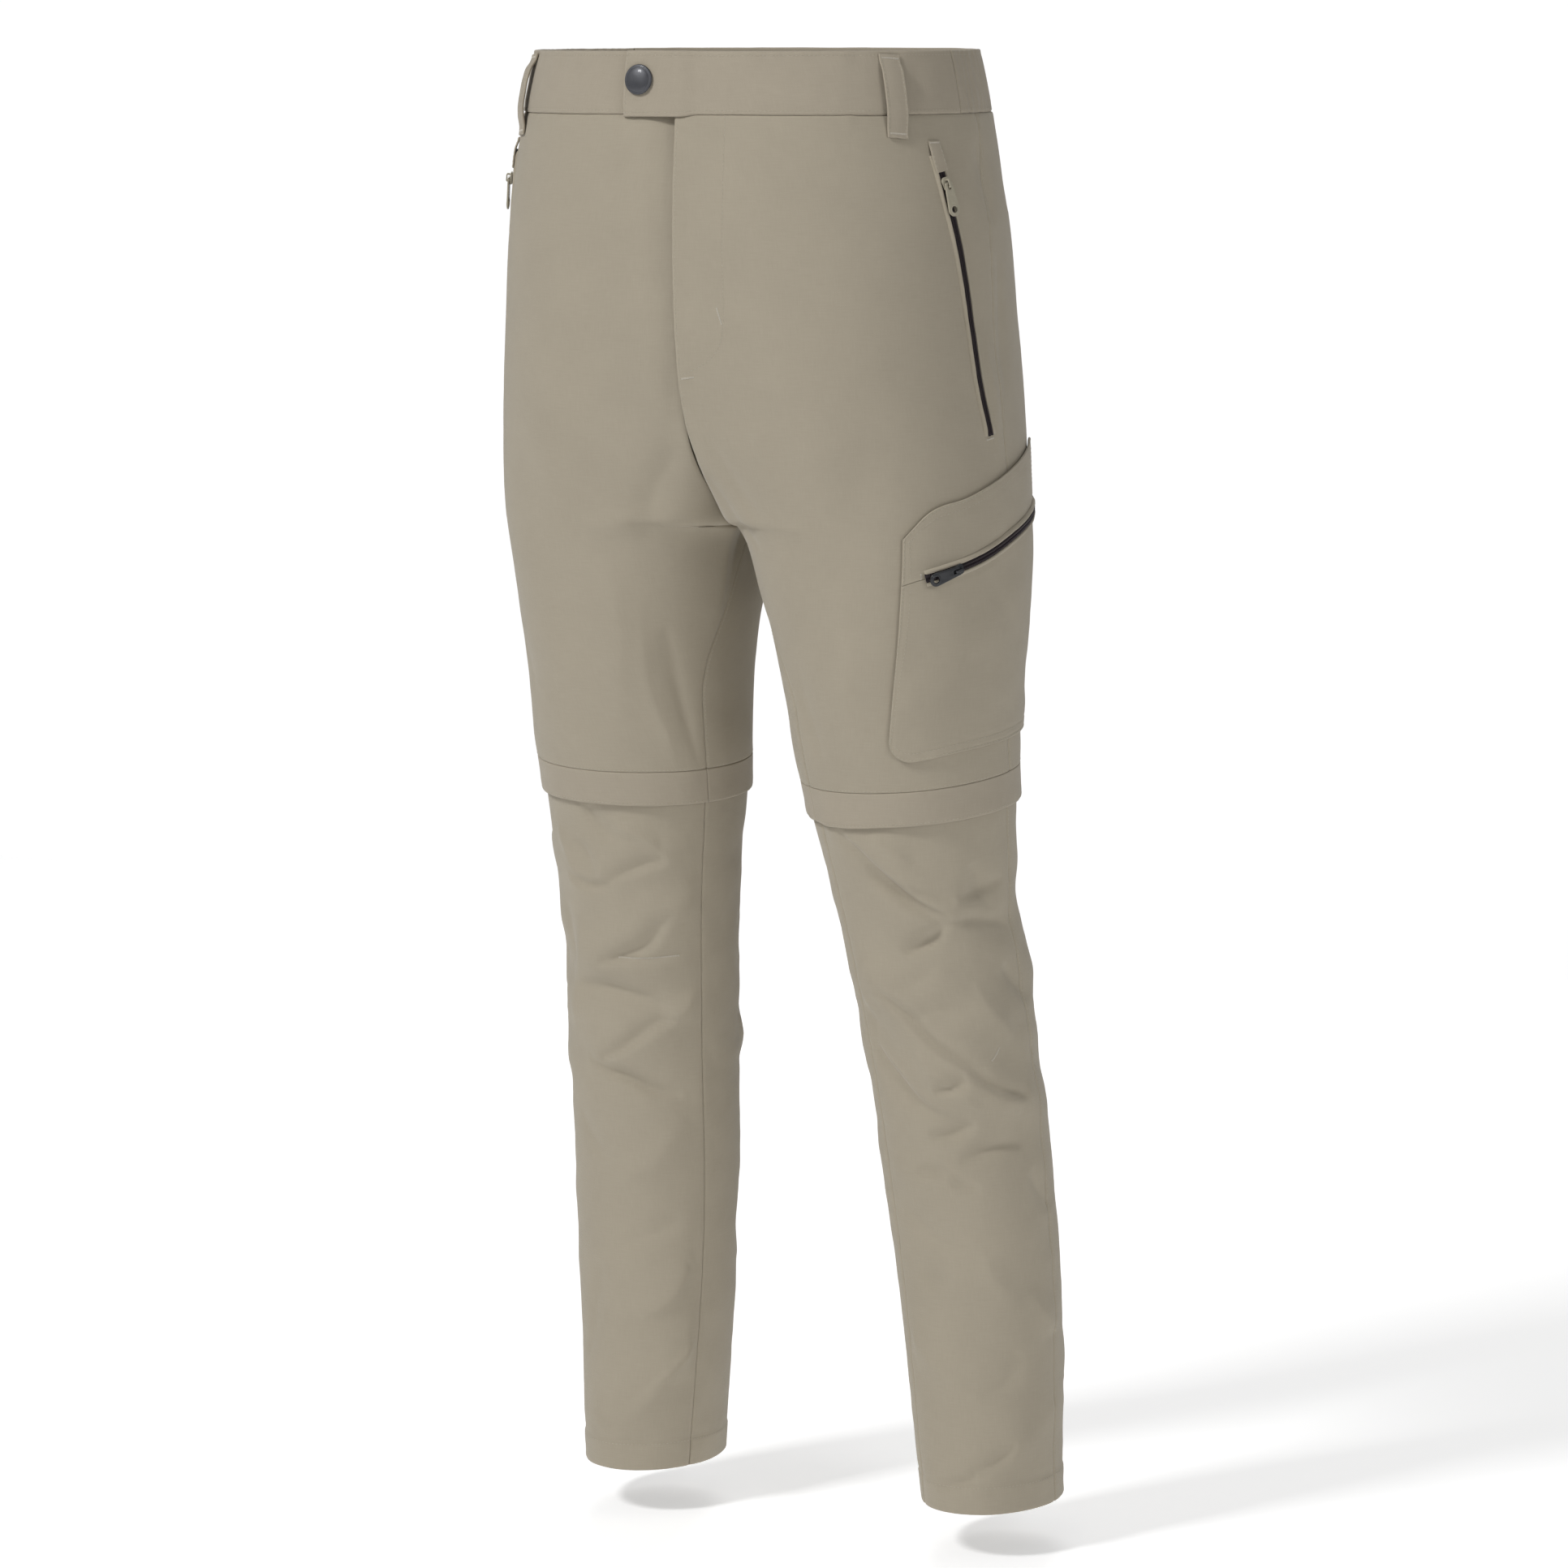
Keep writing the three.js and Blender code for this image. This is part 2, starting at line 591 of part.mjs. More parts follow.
function lowerPanel(face, leg) {
  clothPiece(`lower_${face}_${leg}`, materials.cloth, LOWER_ROWS, LOWER_COLUMNS, (i, j) => {
    const share = j / LOWER_COLUMNS;
    const level = i === LOWER_ROWS ? HEM : mix(LOWER_TOP, HEM_TOP, i / (LOWER_ROWS - 1));
    const turnOf = face === 'front' ? frontTurn : backTurn;
    let turn = turnOf(leg, level, share);
    const z = levelHeight(leg, turn, level);
    turn = turnOf(leg, z, share);
    const wall = level < HEM_TOP + 1 ? HEM_CLOTH : CLOTH;
    return { leg, turn, z, outer: 0, inner: -wall, gap: 0 };
  });
}

// Cover over the knee zip, a band all round the upper leg's lower edge
function zipCover(leg) {
  const columns = 30;
  clothPiece(`zip_cover_${leg}`, materials.band, 2, columns, (i, j) => {
    const turn = 4 * j / columns;
    const level = mix(COVER_TOP - SEAM, COVER_LOW, i / 2);
    const z = levelHeight(leg, turn, level);
    const lift = FLARE + COVER_EDGE_FLARE * i / 2;
    return { leg, turn, z, outer: lift, inner: lift - CLOTH, gap: 0 };
  }, true);
}

// Waistband
const BAND_ROWS = 2;

function bandHeight(i) {
  return mix(0, BAND_LOW, i / BAND_ROWS);
}

function bandFrontRight() {
  clothPiece('waistband_front_right', materials.band, BAND_ROWS, FRONT_COLUMNS, (i, j) => {
    const z = bandHeight(i);
    const end = turnAt(z, ELASTIC_FROM - SEAM);
    const turn = end * (j / FRONT_COLUMNS) ** COLUMN_BUNCH;
    return { leg: 'right', turn, z, outer: BAND_LIFT, inner: BAND_LIFT - BAND_CLOTH, gap: SEAM / 2 };
  });
}

// The left front strip runs on past the middle as the button tab, over the right one
function bandFrontLeft() {
  const last = TAB_COLUMNS.length - 1;
  const columns = last + FRONT_COLUMNS;
  clothPiece('waistband_front_left', materials.band, BAND_ROWS, columns, (i, j) => {
    const z = bandHeight(i);
    const x = TAB_COLUMNS[Math.min(j, last)];
    const past = Math.max(0, j - last) / (columns - last);
    const near = turnAtX(section(z), Math.abs(x));
    const turn = mix(near, turnAt(z, ELASTIC_FROM - SEAM), past);
    const lift = mix(TAB_LIFT, BAND_LIFT, smooth((x - 1) / TAB_RISE));
    return { leg: x < 0 ? 'right' : 'left', turn, z, outer: lift, inner: lift - BAND_CLOTH, gap: 0 };
  });
}

// Elasticated strip over the side seam, drawn up in shallow gathers
function bandSide(leg) {
  const columns = 4 * GATHERS;
  clothPiece(`waistband_side_${leg}`, materials.band, BAND_ROWS, columns, (i, j) => {
    const z = bandHeight(i);
    const turn = turnAt(z, mix(ELASTIC_FROM, ELASTIC_TO, j / columns));
    const wave = 0.5 - 0.5 * Math.cos(2 * Math.PI * j / 4);
    const edge = Math.min(1, j / 2, (columns - j) / 2);
    const lift = BAND_LIFT - GATHER_HEIGHT * wave * edge;
    return { leg, turn, z, outer: lift, inner: lift - BAND_CLOTH, gap: 0 };
  });
}

function bandBack() {
  clothPiece('waistband_back', materials.band, BAND_ROWS, 2 * BACK_COLUMNS, (i, j) => {
    const z = bandHeight(i);
    const start = turnAt(z, ELASTIC_TO + SEAM);
    const leg = j <= BACK_COLUMNS ? 'left' : 'right';
    const share = Math.abs(j - BACK_COLUMNS) / BACK_COLUMNS;
    const turn = mix(4, start, share ** COLUMN_BUNCH);
    return { leg, turn, z, outer: BAND_LIFT, inner: BAND_LIFT - BAND_CLOTH, gap: 0 };
  });
}

// Strip that closes the fly behind the overlap
function flyShield() {
  const columns = SHIELD.columns.length - 1;
  clothPiece('fly_shield', materials.cloth, SHIELD.rows, columns, (i, j) => {
    const z = mix(SHIELD.top, SHIELD.low, i / SHIELD.rows);
    const x = SHIELD.columns[j];
    const turn = turnAtX(section(z), Math.abs(x));
    const leg = x < 0 ? 'right' : 'left';
    return { leg, turn, z, outer: SHIELD.lift, inner: SHIELD.lift - CLOTH, gap: 0 };
  });
}

function loopOff(i) {
  return { outer: LOOP_RISE[i].off + LOOP_CLOTH, inner: LOOP_RISE[i].off, gap: 0 };
}

function beltLoop({ name, leg, around }) {
  clothPiece(name, materials.band, LOOP_RISE.length - 1, 2, (i, j) => {
    const z = LOOP_RISE[i].z;
    return { leg, turn: turnAt(z, around + LOOP_WIDTH * (j / 2 - 0.5)), z, ...loopOff(i) };
  });
}

function centreBackLoop() {
  clothPiece('belt_loop_centre_back', materials.band, LOOP_RISE.length - 1, 2, (i, j) => {
    const z = LOOP_RISE[i].z;
    const half = section(z);
    const turn = 4 - Math.acos(1 - Math.abs(j - 1) * LOOP_WIDTH / 2 / half.backAt) / QUARTER;
    return { leg: j < 2 ? 'left' : 'right', turn, z, ...loopOff(i) };
  });
}

// Zips
function zipStrip(name, leg, rows, base, pathAt) {
  clothPiece(name, materials.coil, rows, 1, (i, j) => {
    const { around, z, slope } = pathAt(i / rows);
    const side = (2 * j - 1) * ZIP_HALF_WIDTH;
    const height = z - side * Math.sin(slope);
    const turn = turnAt(height, around + side * Math.cos(slope));
    return { leg, turn, z: height, outer: base + ZIP_CLOTH, inner: base, gap: 0 };
  });
}

function handZipPath(t) {
  const z = mix(HAND_ZIP[0].z, HAND_ZIP[HAND_ZIP.length - 1].z, t);
  return { z, around: column(HAND_ZIP, 'z', 'around', z), slope: 0 };
}

function handZip(leg) {
  zipStrip(`hand_zip_${leg}`, leg, 14, ZIP_LIFT, handZipPath);
  const base = ZIP_LIFT + ZIP_CLOTH + SEAM;
  clothPiece(`hand_zip_end_${leg}`, materials.band, 2, 2, (i, j) => {
    const z = mix(ZIP_END_COVER.top, ZIP_END_COVER.low, i / 2);
    const around = column(HAND_ZIP, 'z', 'around', z) + (j - 1) * ZIP_END_COVER.halfWidth;
    const off = i === 0 ? SEAM : base;
    return { leg, turn: turnAt(z, around), z, outer: base + ZIP_END_COVER.cloth, inner: off, gap: 0 };
  });
}

// Thigh pocket
function pocketHeight(name, around) {
  return column(POCKET, 'around', name, around);
}

function pocketLow(around) {
  const inset = Math.max(0, POCKET_CORNER - (around - POCKET[0].around));
  const corner = POCKET_CORNER - Math.sqrt(POCKET_CORNER ** 2 - inset ** 2);
  return pocketHeight('low', around) + corner;
}

function pocketPiece(name, rows, topOf, lowOf, puff) {
  const columns = POCKET_COLUMNS.length - 1;
  clothPiece(name, materials.cloth, rows, columns, (i, j) => {
    const around = POCKET_COLUMNS[j];
    const z = mix(topOf(around), lowOf(around), i / rows);
    const swell = puff * Math.sin(Math.PI * i / rows) * Math.sin(Math.PI * j / columns) ** 0.7;
    const inner = POCKET_LIFT + flareAt(z) + swell;
    return { leg: 'left', turn: turnAt(z, around), z, outer: inner + POCKET_CLOTH, inner, gap: 0 };
  });
}

function pocketZipPath(t) {
  const around = mix(POCKET_ZIP_FROM, POCKET_ZIP_TO, t);
  const rise = pocketHeight('zip', around + 1) - pocketHeight('zip', around - 1);
  return { around, z: pocketHeight('zip', around), slope: Math.PI / 2 + Math.atan2(rise, 2) };
}

function thighPocket() {
  const zip = (around) => pocketHeight('zip', around);
  pocketPiece('pocket_top_left', 3, (a) => pocketHeight('top', a), (a) => zip(a) + SEAM / 2, 0);
  pocketPiece('pocket_bag_left', 9, (a) => zip(a) - SEAM / 2, pocketLow, POCKET_PUFF);
  zipStrip('pocket_zip_left', 'left', 14, POCKET_LIFT + POCKET_CLOTH + ZIP_LIFT, pocketZipPath);
}

// Solids made with joins
function toSolid(geometry) {
  geometry.deleteAttribute('normal');
  geometry.deleteAttribute('uv');
  const merged = mergeVertices(geometry, 1e-4);
  return new wasm.Manifold(new wasm.Mesh({
    numProp: 3,
    vertProperties: merged.attributes.position.array,
    triVerts: merged.index.array,
  }));
}

function toGeometry(solid) {
  const mesh = solid.getMesh();
  const geometry = new THREE.BufferGeometry();
  geometry.setAttribute('position', new THREE.Float32BufferAttribute(mesh.vertProperties, 3));
  geometry.setIndex(Array.from(mesh.triVerts));
  geometry.computeVertexNormals();
  return geometry;
}

function sliderGeometry() {
  const w = SLIDER.width / 2;
  const l = SLIDER.length / 2;
  const k = SLIDER.corner;
  const outline = new THREE.Shape();
  outline.moveTo(-w, -l + k);
  outline.quadraticCurveTo(-w, -l, -w + k, -l);
  outline.lineTo(w - k, -l);
  outline.quadraticCurveTo(w, -l, w, -l + k);
  outline.lineTo(SLIDER.tail / 2, l);
  outline.lineTo(-SLIDER.tail / 2, l);
  const plate = new THREE.ExtrudeGeometry(outline, {
    depth: SLIDER.plate, bevelEnabled: false, curveSegments: 3,
  });
  // The bridge's side view, with its foot sunk into the plate
  const half = BRIDGE.inside / 2;
  const reach = half + BRIDGE.post;
  const foot = SLIDER.plate / 2;
  const under = SLIDER.plate + BRIDGE.window;
  const top = under + BRIDGE.crown;
  const side = new THREE.Shape();
  side.moveTo(-reach, foot);
  side.lineTo(-half, foot);
  side.lineTo(-half, under);
  side.lineTo(half, under);
  side.lineTo(half, foot);
  side.lineTo(reach, foot);
  side.lineTo(reach, top - BRIDGE.bevel);
  side.lineTo(reach - BRIDGE.bevel, top);
  side.lineTo(-reach + BRIDGE.bevel, top);
  side.lineTo(-reach, top - BRIDGE.bevel);
  const bridge = new THREE.ExtrudeGeometry(side, { depth: BRIDGE.width, bevelEnabled: false });
  bridge.translate(0, 0, -BRIDGE.width / 2);
  bridge.rotateX(Math.PI / 2);
  bridge.rotateZ(Math.PI / 2);
  return toGeometry(toSolid(plate).add(toSolid(bridge)));
}

function pullGeometry() {
  const outline = new THREE.Shape();
  const barEdge = PULL.thick / 2;
  const tip = PULL.length - PULL.low / 2;
  outline.moveTo(-PULL.top / 2, -barEdge);
  outline.lineTo(PULL.top / 2, -barEdge);
  outline.lineTo(PULL.low / 2, tip);
  outline.absarc(0, tip, PULL.low / 2, 0, Math.PI, false);
  const slot = new THREE.Path();
  slot.moveTo(-PULL.slot / 2, barEdge);
  slot.lineTo(-PULL.slot / 2, PULL.slotTo);
  slot.lineTo(PULL.slot / 2, PULL.slotTo);
  slot.lineTo(PULL.slot / 2, barEdge);
  const eye = new THREE.Path();
  eye.absarc(0, tip, PULL.eye / 2, 0, 2 * Math.PI, true);
  outline.holes.push(slot, eye);
  const plate = new THREE.ExtrudeGeometry(outline, {
    depth: PULL.thick, bevelEnabled: false, curveSegments: 8,
  });
  plate.translate(0, 0, -PULL.thick / 2);
  return toGeometry(toSolid(plate));
}

// A slider on a zip and the pull tab that hangs from its bridge. The tab points along
// the path from at to towards, both { around, z }.
function sliderAndPull(name, leg, at, towards, lift, material) {
  const here = place(leg, turnAt(at.z, at.around), at.z);
  const there = place(leg, turnAt(towards.z, towards.around), towards.z);
  const out = here.normal.clone();
  const along = there.point.clone().sub(here.point);
  along.addScaledVector(out, -along.dot(out)).normalize();
  const across = new THREE.Vector3().crossVectors(along, out);
  const frame = new THREE.Matrix4().makeBasis(across, along, out);
  const slider = add(`${name}_slider_${leg}`, sliderGeometry(), material);
  slider.quaternion.setFromRotationMatrix(frame);
  slider.position.copy(here.point).addScaledVector(out, lift + SEAM);
  const pull = add(`${name}_pull_${leg}`, pullGeometry(), material);
  const lean = new THREE.Quaternion();
  lean.setFromAxisAngle(new THREE.Vector3(1, 0, 0), -THREE.MathUtils.degToRad(PULL_LEAN));
  pull.quaternion.copy(slider.quaternion).multiply(lean);
  pull.position.copy(slider.position).addScaledVector(out, PIVOT_HEIGHT);
}

function handSlider(leg) {
  const at = { z: HAND_SLIDER_Z, around: column(HAND_ZIP, 'z', 'around', HAND_SLIDER_Z) };
  const low = HAND_SLIDER_Z - PULL.length;
  const towards = { z: low, around: column(HAND_ZIP, 'z', 'around', low) };
  sliderAndPull('hand_zip', leg, at, towards, ZIP_LIFT + ZIP_CLOTH, materials.tanPull);
}

function pocketSlider() {
  const around = POCKET_SLIDER_AROUND;
  const at = { z: pocketHeight('zip', around), around };
  const front = around - PULL.length;
  const towards = { z: pocketHeight('zip', front) - 1, around: front };
  const lift = POCKET_LIFT + POCKET_CLOTH + ZIP_LIFT + ZIP_CLOTH;
  sliderAndPull('pocket_zip', 'left', at, towards, lift, materials.blackPull);
}

// Domed button on the waistband tab
function waistButton() {
  const r = BUTTON.radius;
  const h = BUTTON.height;
  const profile = [
    [0, 0], [r * 0.86, 0], [r, 0.9], [r, 1.7], [r * 0.93, 2.4], [r * 0.84, 2.5],
    [r * 0.76, 3.2], [r * 0.45, h - 0.2], [0, h],
  ];
  const points = profile.map(([x, y]) => new THREE.Vector2(x, y));
  const spot = place('right', turnAtX(section(BUTTON.z), BUTTON.x), BUTTON.z);
  const button = add('waist_button', toGeometry(toSolid(new THREE.LatheGeometry(points, 24))),
    materials.button);
  button.quaternion.setFromUnitVectors(new THREE.Vector3(0, 1, 0), spot.normal);
  button.position.copy(spot.point).addScaledVector(spot.normal, TAB_LIFT + SEAM);
}

bandFrontLeft();
bandFrontRight();
bandBack();
flyShield();
for (const leg of Object.keys(LEGS)) {
  bandSide(leg);
  for (const face of ['front', 'back']) {
    upperPanel(face, leg);
    lowerPanel(face, leg);
  }
  zipCover(leg);
  handZip(leg);
  handSlider(leg);
}
LOOPS.forEach(beltLoop);
centreBackLoop();
thighPocket();
pocketSlider();
waistButton();

export default trousers;
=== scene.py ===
"""Zip-off walking trousers as worn: the finish and fine form of every piece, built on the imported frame.

The garment's outer face is worked out from its sections, in millimetres, as its solids are.
Meshes are scaled to metres when they are made. The wearer's left is +X and the front faces -Y.
"""

import logging
import math
from dataclasses import dataclass
from enum import Enum
from typing import Callable, NamedTuple, Sequence

import bmesh
import bpy
import numpy as np
from mathutils import Matrix, Vector


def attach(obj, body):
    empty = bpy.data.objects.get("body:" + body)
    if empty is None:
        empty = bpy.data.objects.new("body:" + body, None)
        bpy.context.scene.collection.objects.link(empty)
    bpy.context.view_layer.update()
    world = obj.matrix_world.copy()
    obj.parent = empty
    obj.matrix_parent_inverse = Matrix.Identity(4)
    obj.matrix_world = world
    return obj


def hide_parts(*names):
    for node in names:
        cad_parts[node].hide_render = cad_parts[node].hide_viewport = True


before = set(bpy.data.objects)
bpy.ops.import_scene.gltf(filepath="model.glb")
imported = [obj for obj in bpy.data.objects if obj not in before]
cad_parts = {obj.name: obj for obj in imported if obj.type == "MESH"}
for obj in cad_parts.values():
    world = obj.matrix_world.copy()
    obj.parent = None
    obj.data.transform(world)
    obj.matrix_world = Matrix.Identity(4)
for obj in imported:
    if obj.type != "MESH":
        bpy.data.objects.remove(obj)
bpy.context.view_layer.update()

log = logging.getLogger("trousers")
logging.basicConfig(level=logging.INFO, format="%(name)s: %(message)s")

MM = 0.001
QUARTER = math.pi / 2
GARMENT = "garment"

# Heights of the main lines, as in the solids, and thicknesses of the visible cloth
BAND_LOW = -43.0
CLEFT_TOP = -170.0
CROTCH = -325.0
COVER_TOP = -503.0
COVER_LOW = -528.0
LOWER_TOP = -512.0
HEM_TOP = -1018.0
HEM = -1040.0
CLOTH = 1.6
BAND_CLOTH = 3.0
HEM_CLOTH = 2.6
SEAM = 0.06
SOLID_SEAM = 0.3

# How the section closes towards the crotch, as in the solids
CROTCH_Y = 4.0
FRONT_FALL, FRONT_REACH = 4.0, 0.5
BACK_FALL, BACK_REACH = 3.0, 0.45
ARCH_LOW, ARCH_HALF_WIDTH = -390.0, 15.0
ROUND_TOP, ROUND_CROTCH, ROUND_LEG = 2.0, 0.75, 1.0
SETTLE, SEAM_BACK, SEAM_SWING = 90.0, 200.0, 130.0
DIP_TURN, DIP_FROM, DIP_TO = 0.7, -400.0, -640.0
FLARE, COVER_EDGE_FLARE, FLARE_FROM = 2.6, 0.6, -430.0
FOLD_FADE = 1.4
RIM_LIP = 0.12
NORMAL_STEP = 0.01
NORMAL_DROP = 0.25


class Section(NamedTuple):
    """Half section of the garment seen from above, in millimetres."""

    z: float
    out: float
    inn: float
    front: float
    back: float
    front_at: float
    back_at: float
    side: float


SECTIONS = (
    Section(6, 160, 0, -112, 114, 30, 32, 0),
    Section(-43, 170, 0, -118, 122, 38, 40, 0),
    Section(-110, 179, 0, -123, 133, 50, 56, 0),
    Section(-190, 184, 0, -121, 139, 66, 76, 0),
    Section(-260, 189, 0, -110, 134, 84, 90, 4),
    Section(-325, 193, 0, -94, 119, 98, 98, 10),
    Section(-390, 189, 15, -80, 112, 103, 103, 16),
    Section(-455, 184, 25, -64, 105, 105, 105, 21),
    Section(-525, 180, 33, -42, 101, 107, 107, 30),
    Section(-600, 178, 46, -22, 108, 112, 112, 43),
    Section(-700, 184, 58, 0, 127, 121, 121, 63),
    Section(-850, 190, 70, 26, 144, 130, 130, 85),
    Section(-1040, 188, 90, 33, 159, 139, 139, 96),
)


@dataclass(frozen=True)
class Leg:
    """What differs between the two legs.

    Args:
        name: left or right, as the wearer has it.
        mirror: sign of X.
        inseam: how far the inner seam turns forward below the crotch, in quarters.
        dip: how far the zip cover slopes down towards the front, in millimetres.
    """

    name: str
    mirror: int
    inseam: float
    dip: float


LEFT = Leg("left", 1, 0.55, 8.0)
RIGHT = Leg("right", -1, 0.3, 4.0)
LEGS = (LEFT, RIGHT)


class Fold(NamedTuple):
    """A large soft ridge, or a trough where its height is negative, as in the solids."""

    around: float
    z: float
    to_around: float
    to_z: float
    width: float
    height: float


FOLDS = {
    RIGHT: (
        Fold(-78, -588, -150, -572, 13, 2.6),
        Fold(-160, -606, -90, -652, 15, 3.2),
        Fold(-62, -662, -142, -686, 17, -3.4),
        Fold(-150, -692, -88, -724, 14, 2.6),
        Fold(-72, -728, -146, -752, 14, -2.2),
        Fold(-150, -936, -84, -1002, 18, 3.2),
        Fold(40, -610, 128, -580, 16, -3),
        Fold(24, -672, 130, -640, 17, 3.4),
        Fold(30, -742, 118, -716, 16, -2.6),
        Fold(60, -905, 110, -960, 18, 2.8),
        Fold(-118, -300, -136, -404, 22, -1.8),
        Fold(84, -344, 146, -300, 22, -2.4),
    ),
    LEFT: (
        Fold(-135, -540, -58, -600, 16, 3.6),
        Fold(-88, -628, -10, -608, 15, -3),
        Fold(-120, -650, -42, -726, 15, 3.4),
        Fold(-128, -690, -74, -750, 14, -2.6),
        Fold(-84, -724, -14, -736, 13, 2.4),
        Fold(-100, -772, -24, -766, 16, -2.6),
        Fold(-110, -792, -62, -804, 15, 2.2),
        Fold(-104, -1016, -42, -990, 15, 2.6),
        Fold(36, -590, 124, -612, 16, -3),
        Fold(28, -646, 132, -674, 17, 3.4),
        Fold(24, -716, 112, -748, 16, -2.8),
        Fold(52, -930, 116, -896, 18, 2.8),
        Fold(-128, -286, -140, -392, 20, -2.2),
        Fold(96, -352, 150, -304, 20, -2.6),
    ),
}


class Crease(NamedTuple):
    """A finer crease that tapers to its ends.

    around and z are where it starts, bow is how far its middle swings aside, and lean
    makes one flank steeper than the other (positive steepens the side below it).
    """

    around: float
    z: float
    to_around: float
    to_z: float
    width: float
    height: float
    bow: float
    lean: float


